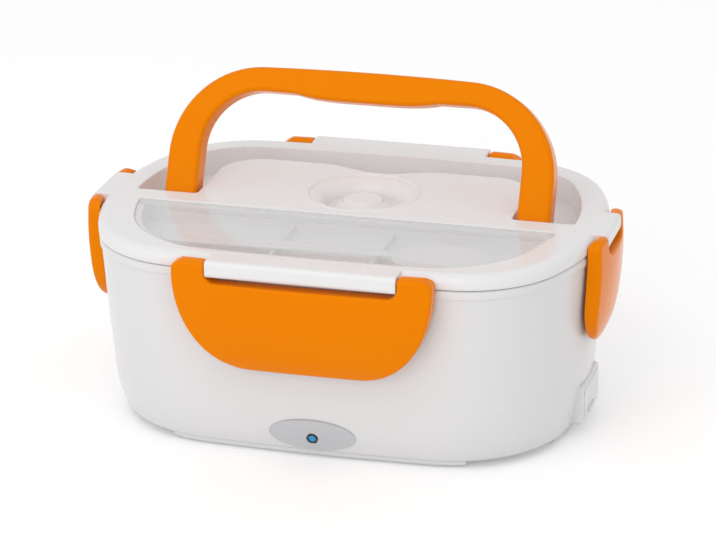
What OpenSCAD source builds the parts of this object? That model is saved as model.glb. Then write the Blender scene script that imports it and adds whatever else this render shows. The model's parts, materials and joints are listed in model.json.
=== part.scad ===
// Electric lunch box: a heated base with a lift-out food tray and side bowl, and a
// lid that is held by four hinged latches. The lid carries a folding handle, a
// steam vent plug and a spoon compartment with a clear swinging cover.
// Millimetres, +Z up. X runs along the box, -Y is the front, and the origin is on
// the surface that the feet stand on, below the middle of the box.

/* [Overall outline] */
// Length of the lid over its skirt
lid_len = 225; // [215:1:240]
// Depth of the lid over its skirt
lid_dep = 160; // [154:1:176]
// Radius of the four plan corners
corner_r = 47; // [42:1:54]
// Radius of the gently bowed front and back sides
front_arc_r = 880; // [700:20:1400]
// Radius of the bowed ends
side_arc_r = 121; // [115:1:160]

/* [Base unit] */
// Height of the body's top rim above the table
rim_z = 87; // [82:1:100]
// Height of the body's lower edge above the table
body_foot_z = 3.5; // [3:0.1:5]
// Wall of the outer body
body_wall = 2.2; // [1.6:0.1:2.6]
// Height of the flange round the body's rim
flange_h = 3.7; // [3:0.1:5]
// Draft of the ends, in mm per mm of height
draft_x = 0.075; // [0.04:0.005:0.1]
// Draft of the front and back, in mm per mm of height
draft_y = 0.11; // [0.06:0.005:0.13]
// Height of the rounding along the body's lower edge
belly_h = 18.5; // [12:0.5:24]
// How far that rounding draws the edge in
belly_in = 6; // [3:0.5:8]
// Thickness of the base cover's floor
base_floor = 2.2; // [1.6:0.1:3]
// How far the rubber feet stand out below the base cover
foot_h = 1; // [0.6:0.1:2]
// Diameter of a rubber foot
foot_d = 14; // [10:0.5:18]

/* [Heated pan] */
// Height of the pan's floor above the table
pan_floor_z = 33; // [31:0.5:38]
// Wall of the pan
pan_wall = 1.2; // [1:0.1:1.5]
// Length of the heating plate
plate_len = 136; // [110:1:150]
// Depth of the heating plate
plate_dep = 78; // [60:1:84]
// Length of the heater block under the plate
heater_len = 50; // [40:1:60]
// Depth of the heater block
heater_dep = 30; // [24:1:36]
// Thickness of the heater block
heater_h = 5; // [4:0.5:6]
// Diameter of the thermostat
thermostat_d = 16; // [14:0.5:18]

/* [Food tray and bowl] */
// Wall of the food tray
tray_wall = 1.4; // [1.2:0.1:1.8]
// Depth of the small bowl
bowl_depth = 30; // [24:1:34]
// Length of the small bowl along the box
bowl_len = 66; // [56:1:74]
// Wall of the small bowl
bowl_wall = 1.2; // [1:0.1:1.6]

/* [Lid] */
// Height of the lid above the body's rim
lid_rise = 7; // [6.5:0.1:8]
// Thickness of the lid's top
lid_wall = 2.3; // [2:0.1:2.3]
// Width of the rim between the lid's edge and the handle channel
rim_w = 12.5; // [12:0.1:13.5]
// Y of the channel's front wall, behind the bar
bar_back_y = -3.7; // [-4:0.1:-3]
// Gap between a handle leg and the raised island
leg_gap = 1.5; // [1:0.1:2.5]
// Y of the island's back edge
island_back_y = 49; // [45:0.5:50]
// Y of the middle of the steam vent
vent_y = 14.75; // [12:0.25:15]
// Radius of the vent's dish
vent_r = 24.7; // [20:0.1:25]
// Radius of the vent plug
plug_r = 9.2; // [8:0.1:10]
// Travel of the vent plug
plug_travel = 5; // [3:0.5:6]

/* [Spoon compartment] */
// Half of the clear cover's recess along the box
cover_half = 95.7; // [90:0.1:97]
// Y of the recess's straight back edge
cover_back_y = -15; // [-16:0.1:-14]
// Y of the recess's front edge at the middle
cover_front_y = -72; // [-73:0.1:-68]
// Thickness of the clear cover
cover_t = 1.2; // [1:0.1:1.3]
// Height of the compartment's floor below the lid's top
spoon_drop = 9.4; // [8:0.1:10.5]
// Length of the spoon
spoon_len = 150; // [130:1:156]

/* [Handle] */
// Height of the handle's pivot below the lid's top
pivot_drop = 6.5; // [6.4:0.1:7]
// Thickness of the handle, front to back when it stands up
handle_t = 12; // [10:0.1:12]
// Width across the handle's legs
handle_w = 176.6; // [172:0.2:178]
// Height of the handle's top above the pivot
handle_h = 62.4; // [58:0.2:63]
// Width of a handle leg
leg_w = 14.8; // [13:0.1:15]
// Width of the grip
grip_w = 10.9; // [10:0.1:12]
// Outer radius of the handle's shoulders
shoulder_r = 42; // [36:1:44]
// Lean of the handle at rest, back from upright
handle_lean = 25; // [0:1:60]
// Diameter of a handle pivot pin
pivot_d = 5; // [4:0.1:6]

/* [Latches] */
// Half width of the long front and back latches
long_latch_half = 57; // [52:0.5:60]
// Half width of the notch between the long latches' ears
long_notch_half = 42; // [38:0.5:44]
// Half width of the short end latches
short_latch_half = 25.5; // [24:0.5:27]
// Half width of the notch between the short latches' ears
short_notch_half = 14.5; // [12:0.5:15.5]
// How far a latch reaches down below the lid's top
latch_drop = 48; // [42:0.5:52]
// Thickness of a latch's face
latch_wall = 2.4; // [2:0.1:2.6]
// Radius of a latch's ear round its pivot
ear_r = 3.6; // [3.2:0.1:3.6]
// Radius of the lid's bar between the ears
hinge_bar_r = 2.8; // [2.6:0.1:3]
// Radius of a latch's pivot stub
stub_r = 1.5; // [1.2:0.1:1.6]

/* [Power parts] */
// Width of the power inlet's hood
hood_w = 34; // [30:1:38]
// Height of the hood's top above the table
hood_top_z = 23.5; // [22:0.5:26]
// Length of the lamp panel
panel_len = 39; // [32:1:44]
// Height of the lamp panel
panel_h = 16; // [13:0.5:17]
// Diameter of the lamp
lamp_d = 4.2; // [3:0.1:5]

/* [Clearances] */
// Gap between pieces that part or pass each other
gap = 0.3; // [0.25:0.05:0.4]
// Radial clearance of a running pin
pin_gap = 0.06; // [0.03:0.01:0.1]
// Radial clearance of a screw in its thread
thread_gap = 0.02; // [0.01:0.01:0.05]

/* [Hidden] */

$fn = 48;
eps = 0.01;

// Steps along a quarter of the plan outline: end, corner and long side
end_steps = 3;
corner_steps = 8;
side_steps = 4;

lid_a = lid_len / 2;
lid_b = lid_dep / 2;
island_half = handle_w / 2 - leg_w - leg_gap;

lid_top_z = rim_z + lid_rise;
skirt_z = rim_z + gap;
lid_under_z = lid_top_z - lid_wall;
flange_z = rim_z - flange_h;

// Insets from the lid's edge, of everything that nests at the rim
flange_inset = 0.3;
body_inset = 1;
lip_inset = 2.2;
ledge_inset = 5;
ledge_z = rim_z - 1.6;
ledge_t = 2.4;
pan_inset = 5.5;
pan_flange_t = 1.2;
tray_inset = pan_inset + pan_wall + 0.9;
tray_flange_t = 1.2;
tray_flange_z = ledge_z + pan_flange_t + 0.2;
tray_flange_inset = 5;
seal_inset = 5.6;
seal_w = 2.8;
seal_lip = 0.1;
lid_skin = 1.5;
skirt_wall = 2;
plug_wall = 1.1;
plug_inset = rim_w - lid_skin - gap / 2 - plug_wall;

// Levels inside the lid
handle_floor_z = lid_top_z - pivot_drop - handle_t / 2 - gap;
tub_under_z = handle_floor_z - 1.6;
inner_top_z = tub_under_z - gap;
inner_t = 1.5;
inner_under_z = inner_top_z - inner_t;
spoon_floor_z = lid_top_z - spoon_drop;

// Pivots
pivot_z = lid_top_z - pivot_drop;
pivot_y = bar_back_y + gap + handle_t / 2;
pivot_r = pivot_d / 2;
latch_n = ear_r + 0.4;
latch_z = lid_top_z + 1.2 - ear_r;
cover_top_z = lid_top_z - 0.2;
cover_barrel_r = 1.9;
cover_hinge_z = cover_top_z - cover_barrel_r;
cover_hinge_y = cover_back_y - gap - cover_barrel_r;
cover_stub_r = 1;

// Pan and tray levels
plate_top_z = pan_floor_z + 2;
plate_t = 0.8;
tray_under_z = plate_top_z + gap;
heater_top_z = pan_floor_z - 0.8;
heater_under_z = heater_top_z - heater_h;
bowl_top_z = inner_under_z - 0.8;

base_top_z = foot_h + base_floor;

// ---- outline functions -------------------------------------------------

function arc_points(c, r, from, to, steps) =
    [for (i = [0 : steps]) c + r * [cos(from + (to - from) * i / steps),
                                    sin(from + (to - from) * i / steps)]];

// First quadrant of the plan outline: an end arc, a corner arc and a side arc,
// each tangent to the next.
function quarter(a, b, r, rf, rs) =
    let (p0 = [0, b - rf],
         p1 = [a - rs, 0],
         d = norm(p1 - p0),
         e = (p1 - p0) / d,
         k = (pow(rf - r, 2) - pow(rs - r, 2) + d * d) / (2 * d),
         h = sqrt(pow(rf - r, 2) - k * k),
         c = p0 + k * e + h * [e.y, -e.x],
         t1 = atan2(c.y, c.x - p1.x),
         t0 = atan2(c.y - p0.y, c.x))
    concat(arc_points(p1, rs, 0, t1, end_steps),
           [for (i = [1 : corner_steps]) c + r * [cos(t1 + (t0 - t1) * i / corner_steps),
                                                  sin(t1 + (t0 - t1) * i / corner_steps)]],
           [for (i = [1 : side_steps]) p0 + rf * [cos(t0 + (90 - t0) * i / side_steps),
                                                  sin(t0 + (90 - t0) * i / side_steps)]]);

// The whole closed outline, anticlockwise from +X
function outline(a, b, r, rf, rs) =
    let (q = quarter(a, b, r, rf, rs), n = len(q) - 1)
    concat([for (i = [0 : n - 1]) q[i]],
           [for (i = [n : -1 : 1]) [-q[i].x, q[i].y]],
           [for (i = [0 : n - 1]) -q[i]],
           [for (i = [n : -1 : 1]) [q[i].x, -q[i].y]]);

// The lid's outline moved in by an inset, everywhere alike
function lid_ring(inset) =
    outline(lid_a - inset, lid_b - inset, corner_r - inset, front_arc_r - inset,
            side_arc_r - inset);

function at_z(points, z) = [for (p = points) [p.x, p.y, z]];

// How far the rounded lower edge is drawn in at a height
function belly(z) =
    z >= body_foot_z + belly_h ? 0
    : let (u = (body_foot_z + belly_h - z) / (belly_h + 2.5))
      belly_in * (1 - sqrt(1 - u * u));

// The body's outline at a height, moved in by a wall
function body_ring(z, wall) =
    let (down = max(flange_z - z, 0), in = body_inset + belly(z) + wall)
    outline(lid_a - in - draft_x * down, lid_b - in - draft_y * down,
            corner_r - body_inset - wall - belly(z) / 2 + 0.1 * down, front_arc_r - in,
            side_arc_r - in);

function smooth(t) = t * t * (3 - 2 * t);

// ---- building blocks ---------------------------------------------------

// A closed skin through rings of points that run anticlockwise, bottom ring first
module skin(rings) {
    m = len(rings[0]);
    n = len(rings);
    polyhedron(
        points = [for (ring = rings) each ring],
        faces = concat(
            [[for (j = [0 : m - 1]) j]],
            [[for (j = [m - 1 : -1 : 0]) (n - 1) * m + j]],
            [for (i = [0 : n - 2]) for (j = [0 : m - 1])
                [i * m + j, (i + 1) * m + j, (i + 1) * m + (j + 1) % m]],
            [for (i = [0 : n - 2]) for (j = [0 : m - 1])
                [i * m + j, (i + 1) * m + (j + 1) % m, i * m + (j + 1) % m]]),
        convexity = 8);
}

module slab(points, z0, z1) {
    translate([0, 0, z0])
        linear_extrude(z1 - z0)
            polygon(points);
}

module box(low, high) {
    translate(low)
        cube(high - low);
}

// A cylinder along X from x0 to x1
module rod_x(x0, x1, y, z, r) {
    translate([x0, y, z])
        rotate([0, 90, 0])
            cylinder(r = r, h = x1 - x0);
}

// A cylinder along Y from y0 to y1
module rod_y(y0, y1, x, z, r) {
    translate([x, y1, z])
        rotate([90, 0, 0])
            cylinder(r = r, h = y1 - y0);
}

module both_ends() {
    for (side = [-1, 1])
        scale([1, 1, 1])
            mirror([side < 0 ? 1 : 0, 0, 0])
                children();
}

// Puts a piece made at the front edge's frame, where x runs along the edge, y is
// how far in and z is up, on one of the four edges: 0 front, 1 right, 2 back, 3 left
module on_edge(which) {
    reach = which % 2 == 0 ? lid_b : lid_a;
    rotate([0, 0, 90 * which])
        translate([0, -reach, 0])
            children();
}

// A profile of [outward, z] points, extruded along an edge between two places
module edge_profile(points, u0, u1) {
    translate([u0, 0, 0])
        rotate([90, 0, 90])
            linear_extrude(u1 - u0)
                polygon([for (p = points) [-p.x, p.y]]);
}

// An outline of [along, z] points, extruded outward between two distances
module edge_face(points, n0, n1) {
    translate([0, -n0, 0])
        rotate([90, 0, 0])
            linear_extrude(n1 - n0)
                polygon(points);
}

function rounded_box(w, d, r) =
    [for (q = [[1, 1, 0], [-1, 1, 90], [-1, -1, 180], [1, -1, 270]])
        for (i = [0 : 6]) [q.x * (w / 2 - r) + r * cos(q.z + 15 * i),
                           q.y * (d / 2 - r) + r * sin(q.z + 15 * i)]];

function ellipse_points(a, b, steps) =
    [for (i = [0 : steps - 1]) [a * cos(360 * i / steps), b * sin(360 * i / steps)]];

// ---- base unit -----------------------------------------------------------

keeper_top_z = latch_z - 12.4;
keeper_tip_z = latch_z - 14.4;
keeper_under_z = latch_z - 16.7;
keeper_out = 0.4;
long_keeper_half = 26;
short_keeper_half = 9;

body_levels = [body_foot_z, body_foot_z + 1.2, body_foot_z + 3, body_foot_z + 5.5,
               body_foot_z + 9, body_foot_z + 13.5, body_foot_z + belly_h, flange_z];

// Rib that a latch's hook holds, with a steep lower face that lets the hook go
module keeper(half) {
    edge_profile([[-4.2, keeper_top_z + 1.4], [keeper_out, keeper_top_z],
                  [keeper_out, keeper_tip_z], [keeper_out - 1, keeper_under_z],
                  [-5, keeper_under_z - 0.6]], -half, half);
}

hood_x = lid_a - 4.5;
hood_low_z = body_foot_z + 2;
hood_y = -1;
seat_t = 1.5;
flap_half = hood_w / 2 - 3;
flap_low_z = hood_low_z + 2.2;
flap_axis_x = hood_x - 0.9;
flap_axis_z = hood_top_z - 3.4;
flap_barrel_r = 1.3;
flap_pin_r = 0.6;
socket_half = 11;
socket_low_z = flap_low_z + 1.2;
socket_top_z = flap_axis_z - 2.2;
socket_mid_z = (socket_low_z + socket_top_z) / 2;
socket_back = 20;
pin_back = socket_back + 3;
pin_len = pin_back - 3.1;
pin_r = 1.2;
pin_half_pitch = 4.3;

module hood() {
    translate([0, hood_y + hood_w / 2, 0])
        rotate([90, 0, 0])
            linear_extrude(hood_w)
                polygon([[hood_x - 15, hood_low_z], [hood_x - 1.6, hood_low_z],
                         [hood_x, hood_low_z + 2.4], [hood_x, hood_top_z - 1.4],
                         [hood_x - 1.4, hood_top_z], [hood_x - 15, hood_top_z]]);
}

module hood_cuts() {
    // seat of the flap and its barrel
    box([hood_x - seat_t, hood_y - flap_half - gap, flap_low_z - gap],
        [hood_x + 3, hood_y + flap_half + gap, flap_axis_z]);
    rod_y(hood_y - flap_half - gap, hood_y + flap_half + gap, flap_axis_x, flap_axis_z,
          flap_barrel_r + gap);
    box([flap_axis_x, hood_y - flap_half - gap, flap_axis_z - 1],
        [hood_x + 3, hood_y + flap_half + gap, flap_axis_z + flap_barrel_r + gap]);
    // mouth of the socket
    box([hood_x - socket_back, hood_y - socket_half, socket_low_z],
        [hood_x, hood_y + socket_half, socket_top_z]);
    rod_y(hood_y - flap_half - 1.6, hood_y + flap_half + 1.6, flap_axis_x, flap_axis_z,
          flap_pin_r);
}

panel_z = body_foot_z + panel_h / 2 + 0.9;
panel_tilt = 14;
panel_t = 1.8;
panel_proud = 0.5;
panel_y = lid_b - body_inset - belly(panel_z) - draft_y * (flange_z - panel_z);

// Frame of the lamp panel: its z axis leaves the body's front face
module on_panel() {
    translate([0, -panel_y, panel_z])
        rotate([90 + panel_tilt, 0, 0])
            children();
}

module outer_body() {
    color([0.93, 0.93, 0.94])
    difference() {
        union() {
            skin([for (z = body_levels) at_z(body_ring(z, 0), z)]);
            skin([at_z(lid_ring(flange_inset + 0.5), flange_z),
                  at_z(lid_ring(flange_inset), flange_z + 0.6),
                  at_z(lid_ring(flange_inset), rim_z - 0.5),
                  at_z(lid_ring(flange_inset + 0.4), rim_z)]);
            for (which = [0, 2])
                on_edge(which)
                    keeper(long_keeper_half);
            for (which = [1, 3])
                on_edge(which)
                    keeper(short_keeper_half);
            hood();
        }
        skin([at_z(body_ring(body_foot_z, body_wall), body_foot_z - 1),
              at_z(body_ring(body_foot_z + 1.2, body_wall), body_foot_z + 1.2),
              at_z(body_ring(body_foot_z + 5.5, body_wall), body_foot_z + 5.5),
              at_z(body_ring(body_foot_z + 10, body_wall), body_foot_z + 10),
              at_z(body_ring(body_foot_z + belly_h, body_wall), body_foot_z + belly_h),
              at_z(body_ring(ledge_z - ledge_t - 3, body_wall), ledge_z - ledge_t - 3),
              at_z(lid_ring(ledge_inset), ledge_z - ledge_t),
              at_z(lid_ring(ledge_inset), ledge_z + 1)]);
        slab(lid_ring(lip_inset), ledge_z, rim_z + 1);
        hood_cuts();
        on_panel()
            translate([0, 0, -panel_t + panel_proud])
                linear_extrude(10)
                    polygon(ellipse_points(panel_len / 2 + 0.1, panel_h / 2 + 0.1, 48));
        on_panel()
            translate([0, 0, -10])
                cylinder(d = lamp_d + 0.3, h = 20);
    }
}

// Floor of the base: the four corners are cut back under the body's round corners
apron_half = 66;
tab_half = 28;
base_inset = 1.2;

module base_plan(low, high, in) {
    foot = body_ring(body_foot_z, base_inset + in);
    cut_back = body_ring(body_foot_z, base_inset + 4 + in);
    slab(cut_back, low, high);
    intersection() {
        slab(foot, low, high);
        box([-apron_half + in, -lid_b, low - 1], [apron_half - in, lid_b, high + 1]);
    }
    intersection() {
        slab(foot, low, high);
        box([-lid_a, -tab_half + in, low - 1], [lid_a, tab_half - in, high + 1]);
    }
}

screw_x = 72;
screw_y = 36;
pillar_r = 4.5;
screw_r = 1.5;
foot_x = 74;
foot_y = 22;
foot_seat = 1.2;

module at_screws() {
    for (x = [-screw_x, screw_x])
        for (y = [-screw_y, screw_y])
            translate([x, y, 0])
                children();
}

module at_feet() {
    for (x = [-foot_x, foot_x])
        for (y = [-foot_y, foot_y])
            translate([x, y, 0])
                children();
}

module base_cover() {
    color([0.90, 0.90, 0.91])
    difference() {
        union() {
            base_plan(foot_h, foot_h + 0.6, 0.6);
            base_plan(foot_h + 0.6, base_top_z, 0);
            // spigot that fits inside the body's lower edge
            difference() {
                slab(body_ring(body_foot_z, body_wall + gap), base_top_z - eps,
                     body_foot_z + 3);
                slab(body_ring(body_foot_z, body_wall + gap + 1.6), base_top_z - 1,
                     body_foot_z + 4);
            }
            at_screws()
                cylinder(r = pillar_r, h = body_foot_z + 2.4);
            // cradle of the inlet's socket
            box([hood_x - socket_back + 1, hood_y - socket_half - 1.2, base_top_z - eps],
                [hood_x - socket_back + 7, hood_y + socket_half + 1.2, socket_low_z + 4]);
            // slotted posts of the lamp's board
            for (side = [-1, 1])
                translate([side * board_half, -board_y + board_t / 2, 0])
                    linear_extrude(base_top_z + 7)
                        square([4, board_t + 3], center = true);
        }
        box([hood_x - socket_back, hood_y - socket_half + gap, socket_low_z + gap],
            [hood_x - socket_back + 8, hood_y + socket_half - gap, socket_low_z + 8]);
        box([-board_half - 0.05, -board_y - 0.05, base_top_z],
            [board_half + 0.05, -board_back_y + 0.05, panel_z + 7]);
        // the pillars start at the cover's own underside
        translate([0, 0, -10])
            linear_extrude(10 + foot_h)
                square(400, center = true);
        at_screws()
            cylinder(r = screw_r + 0.2, h = 30, center = true);
        at_screws()
            cylinder(r = 3.2, h = 2 * (foot_h + 2));
        at_feet()
            cylinder(d = foot_d + 0.1, h = 2 * foot_h + 2 * foot_seat, center = true);
        // air slots under the heater
        for (x = [-40 : 10 : 40])
            translate([x, 0, 0])
                linear_extrude(20, center = true)
                    polygon(rounded_box(3, 26, 1.4));
    }
}

module rubber_feet() {
    color([0.35, 0.35, 0.36])
    at_feet()
        rotate_extrude()
            polygon([[0, 0.4], [foot_d / 2 - 2.4, 0.4], [foot_d / 2 - 2, 0],
                     [foot_d / 2 - 0.8, 0], [foot_d / 2, 0.7],
                     [foot_d / 2, foot_h + foot_seat], [0, foot_h + foot_seat]]);
}

screw_seat_z = foot_h + 2;
screw_tip_z = body_foot_z + 15;

module base_screws() {
    color([0.72, 0.73, 0.75])
    at_screws()
        difference() {
            union() {
                translate([0, 0, screw_seat_z - 1.8])
                    cylinder(r = 2.8, h = 1.8);
                translate([0, 0, screw_seat_z - eps])
                    cylinder(r = screw_r, h = screw_tip_z - screw_seat_z);
            }
            translate([0, 0, screw_seat_z - 2.4])
                linear_extrude(1.4) {
                    square([3.6, 0.8], center = true);
                    square([0.8, 3.6], center = true);
                }
        }
}

// ---- heated pan --------------------------------------------------------------

pan_levels = [[pan_floor_z, 19.5], [pan_floor_z + 1, 17.6], [pan_floor_z + 3.5, 15.6],
              [pan_floor_z + 8, 14], [rim_z - 11, 6.3], [ledge_z, pan_inset]];
plate_hole_len = plate_len - 8;
plate_hole_dep = plate_dep - 8;

module inner_pan() {
    color([0.86, 0.87, 0.88])
    difference() {
        union() {
            skin([for (level = pan_levels) at_z(lid_ring(level.y), level.x)]);
            slab(lid_ring(lip_inset + gap), ledge_z, ledge_z + pan_flange_t);
            at_screws()
                translate([0, 0, body_foot_z + 2.4])
                    cylinder(r = pillar_r, h = pan_floor_z - body_foot_z - 2);
        }
        skin(concat([at_z(lid_ring(pan_levels[0].y + pan_wall), pan_floor_z + pan_wall)],
                    [for (i = [1 : len(pan_levels) - 2])
                        at_z(lid_ring(pan_levels[i].y + pan_wall),
                             pan_levels[i].x + pan_wall)],
                    [at_z(lid_ring(pan_inset + pan_wall), rim_z + 1)]));
        slab(rounded_box(plate_hole_len, plate_hole_dep, 14), pan_floor_z - 1, plate_top_z);
        at_screws()
            cylinder(r = screw_r + thread_gap, h = screw_tip_z + 1);
    }
}

module heating_plate() {
    color([0.72, 0.73, 0.74])
    difference() {
        union() {
            slab(rounded_box(plate_len, plate_dep, 18), plate_top_z - plate_t, plate_top_z);
            slab(rounded_box(plate_hole_len - 0.6, plate_hole_dep - 0.6, 13.7),
                 heater_top_z, plate_top_z - plate_t + eps);
            for (x = [-clamp_screw_x, clamp_screw_x])
                translate([x, 0, heater_under_z])
                    cylinder(r = 4, h = heater_h + eps);
        }
        for (x = [-clamp_screw_x, clamp_screw_x])
            translate([x, 0, heater_under_z - 1])
                cylinder(r = 1.5, h = heater_h + 1.6);
    }
}

clamp_t = 1;
clamp_screw_x = heater_len / 2 + 8;
clamp_z = heater_under_z - clamp_t;

module heater_block() {
    color([0.80, 0.80, 0.78])
    difference() {
        box([-heater_len / 2, -heater_dep / 2, heater_under_z],
            [heater_len / 2, heater_dep / 2, heater_top_z]);
        // side grooves of the extruded heater case
        for (side = [-1, 1])
            translate([0, side * heater_dep / 2, (heater_under_z + heater_top_z) / 2])
                cube([heater_len + 2, 1.6, heater_h * 0.36], center = true);
    }
}

module heater_clamp() {
    color([0.62, 0.63, 0.65])
    difference() {
        union() {
            box([-clamp_screw_x - 5, -6, clamp_z], [clamp_screw_x + 5, 6, heater_under_z]);
            for (side = [-1, 1])
                translate([0, side * 5.5, clamp_z - 1])
                    cube([heater_len, 1, 2.2], center = true);
        }
        for (x = [-clamp_screw_x, clamp_screw_x])
            translate([x, 0, clamp_z - 1])
                cylinder(r = 1.7, h = 3);
    }
}

module clamp_screws() {
    color([0.75, 0.76, 0.78])
    for (x = [-clamp_screw_x, clamp_screw_x])
        translate([x, 0, 0])
            difference() {
                union() {
                    translate([0, 0, clamp_z - 2])
                        cylinder(r = 2.8, h = 2);
                    translate([0, 0, clamp_z - eps])
                        cylinder(r = 1.45, h = clamp_t + 4);
                }
                translate([0, 0, clamp_z - 2.6])
                    linear_extrude(1.4) {
                        square([3.6, 0.8], center = true);
                        square([0.8, 3.6], center = true);
                    }
            }
}

thermostat_x = -50;
thermostat_y = 14;
thermostat_h = 7;
fuse_x = 50;
fuse_y = 16;
fuse_len = 12;
fuse_r = 1.9;
fuse_z = heater_top_z - fuse_r;

module thermostat() {
    color([0.25, 0.25, 0.27])
    translate([thermostat_x, thermostat_y, 0]) {
        rotate_extrude()
            polygon([[0, heater_top_z - thermostat_h], [thermostat_d / 2 - 1, heater_top_z - thermostat_h],
                     [thermostat_d / 2 - 1, heater_top_z - 2.4], [thermostat_d / 2, heater_top_z - 2.4],
                     [thermostat_d / 2, heater_top_z], [0, heater_top_z]]);
        for (side = [-1, 1])
            box([side * 4 - 1.5, -0.4, heater_top_z - thermostat_h - 6],
                [side * 4 + 1.5, 0.4, heater_top_z - thermostat_h + eps]);
    }
}

module thermal_fuse() {
    color([0.82, 0.80, 0.72])
    translate([fuse_x, fuse_y, fuse_z])
        rotate([0, 90, 0]) {
            cylinder(r = fuse_r, h = fuse_len, center = true);
            translate([0, 0, -fuse_len / 2 - 1.5])
                cylinder(r = 1.2, h = fuse_len + 3);
            translate([0, 0, -fuse_len / 2 - 6])
                cylinder(r = 0.5, h = fuse_len + 12);
        }
}

// Wires: a round tube along hand-laid points, with a bend of its own at each one
wire_r = 1;
wire_sides = 8;
term_z = heater_top_z - thermostat_h - 6;

function wire_point(p, t) =
    let (n = len(p) - 1, i = min(floor(t), n - 1), f = t - i,
         a = p[max(i - 1, 0)], b = p[i], c = p[i + 1], d = p[min(i + 2, n)])
    0.5 * (2 * b + f * (c - a) + f * f * (2 * a - 5 * b + 4 * c - d)
           + f * f * f * (3 * b - a - 3 * c + d));

function unit(v) = v / norm(v);

module wire(p, r) {
    steps = 4 * (len(p) - 1);
    span = (len(p) - 1) / steps;
    centre = [for (i = [0 : steps]) wire_point(p, i * span)];
    along = [for (i = [0 : steps])
        unit(centre[min(i + 1, steps)] - centre[max(i - 1, 0)])];
    side = [for (t = along) unit(cross(t, [0.31, 0.17, 0.93]))];
    skin([for (i = [0 : steps])
        [for (k = [0 : wire_sides - 1])
            let (w = 360 * k / wire_sides)
            centre[i] + r * (cos(w) * side[i] + sin(w) * cross(along[i], side[i]))]]);
}

module wiring() {
    inlet_x = hood_x - pin_back;
    color([0.75, 0.30, 0.22])
        wire([[inlet_x, hood_y - pin_half_pitch, socket_mid_z], [inlet_x - 6, hood_y - 6, socket_mid_z - 1],
              [60, -24, 12], [10, -30, 10], [-38, -12, 11],
              [thermostat_x + 4, 6, 13], [thermostat_x + 4, thermostat_y, term_z - 3],
              [thermostat_x + 4, thermostat_y, term_z + 0.4]], wire_r);
    color([0.75, 0.30, 0.22])
        wire([[thermostat_x - 4, thermostat_y, term_z + 0.4],
              [thermostat_x - 4, thermostat_y, term_z - 4], [-46, 26, 12], [-10, 32, 12],
              [24, 26, 20], [fuse_x - fuse_len / 2 - 11, fuse_y + 2, fuse_z - 2],
              [fuse_x - fuse_len / 2 - 6, fuse_y, fuse_z]], wire_r);
    color([0.20, 0.35, 0.60])
        wire([[inlet_x, hood_y + pin_half_pitch, socket_mid_z], [inlet_x - 6, hood_y + 6, socket_mid_z - 1],
              [66, 8, 14], [48, -4, 20], [heater_len / 2 + 3, -9, heater_under_z + heater_h / 2],
              [heater_len / 2, -9, heater_under_z + heater_h / 2]], wire_r);
    color([0.75, 0.30, 0.22])
        wire([[fuse_x + fuse_len / 2 + 6, fuse_y, fuse_z],
              [fuse_x + fuse_len / 2 + 10, fuse_y - 3, fuse_z - 3], [54, 2, 22],
              [40, 8, 24], [heater_len / 2 + 3, 9, heater_under_z + heater_h / 2],
              [heater_len / 2, 9, heater_under_z + heater_h / 2]], wire_r);
    color([0.85, 0.85, 0.86])
        for (side = [-1, 1])
            wire([[side * 4, -board_back_y, panel_z + 3], [side * 4, -board_back_y + 4, panel_z + 3],
                  [side * 6, -46, 12], [side * 12, -26, 16],
                  [side * 14, -heater_dep / 2 - 3, heater_under_z + heater_h / 2],
                  [side * 14, -heater_dep / 2 + 0.8, heater_under_z + heater_h / 2]], 0.7);
}

board_y = panel_y - 7.4;
board_t = 1.4;
board_back_y = board_y - board_t;
board_half = 11;

module lamp_board() {
    color([0.25, 0.45, 0.30])
    difference() {
        union() {
            box([-board_half, -board_y, base_top_z], [board_half, -board_back_y, panel_z + 7]);
            // series resistor on the back of the board
            translate([0, -board_back_y + 1, panel_z - 3])
                rotate([0, 90, 0])
                    cylinder(r = 1.1, h = 6, center = true);
        }
        for (side = [-1, 1])
            rod_y(-board_y - 1, -board_back_y + 1, side * (board_half - 2.4), panel_z + 4.6, 1.1);
    }
}

module lamp_lens() {
    color([0.12, 0.58, 0.86])
    on_panel()
        rotate_extrude()
            polygon([[0, -6.9], [lamp_d / 2 + 0.5, -6.9], [lamp_d / 2 + 0.5, -5.9],
                     [lamp_d / 2, -5.9], [lamp_d / 2, panel_proud - 0.1],
                     [lamp_d / 2 - 0.5, panel_proud + 0.25], [0, panel_proud + 0.5]]);
}

module lamp_panel() {
    color([0.78, 0.79, 0.80])
    on_panel()
        difference() {
            union() {
                translate([0, 0, panel_proud - panel_t])
                    linear_extrude(panel_t - 0.3)
                        polygon(ellipse_points(panel_len / 2, panel_h / 2, 48));
                translate([0, 0, panel_proud - 0.3 - eps])
                    linear_extrude(0.3)
                        polygon(ellipse_points(panel_len / 2 - 0.4, panel_h / 2 - 0.4, 48));
            }
            cylinder(d = lamp_d + 0.2, h = 10, center = true);
            // sunk ring round the lamp
            translate([0, 0, panel_proud - 0.35])
                cylinder(d = lamp_d + 1.6, h = 2);
        }
}

// ---- power inlet ------------------------------------------------------------

socket_depth = 9;

module inlet_socket() {
    color([0.20, 0.20, 0.22])
    difference() {
        union() {
            box([hood_x - socket_back, hood_y - socket_half + gap, socket_low_z + gap],
                [hood_x - socket_depth, hood_y + socket_half - gap, socket_top_z - gap]);
            // ribs that locate the plug
            for (side = [-1, 1])
                box([hood_x - socket_depth - eps, hood_y + side * (socket_half - 1.1) - 0.8,
                     socket_low_z + gap],
                    [hood_x - seat_t - 1, hood_y + side * (socket_half - 1.1) + 0.8,
                     socket_top_z - gap]);
        }
        for (side = [-1, 1])
            rod_x(hood_x - 30, hood_x, hood_y + side * pin_half_pitch, socket_mid_z, pin_r);
    }
}

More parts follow.
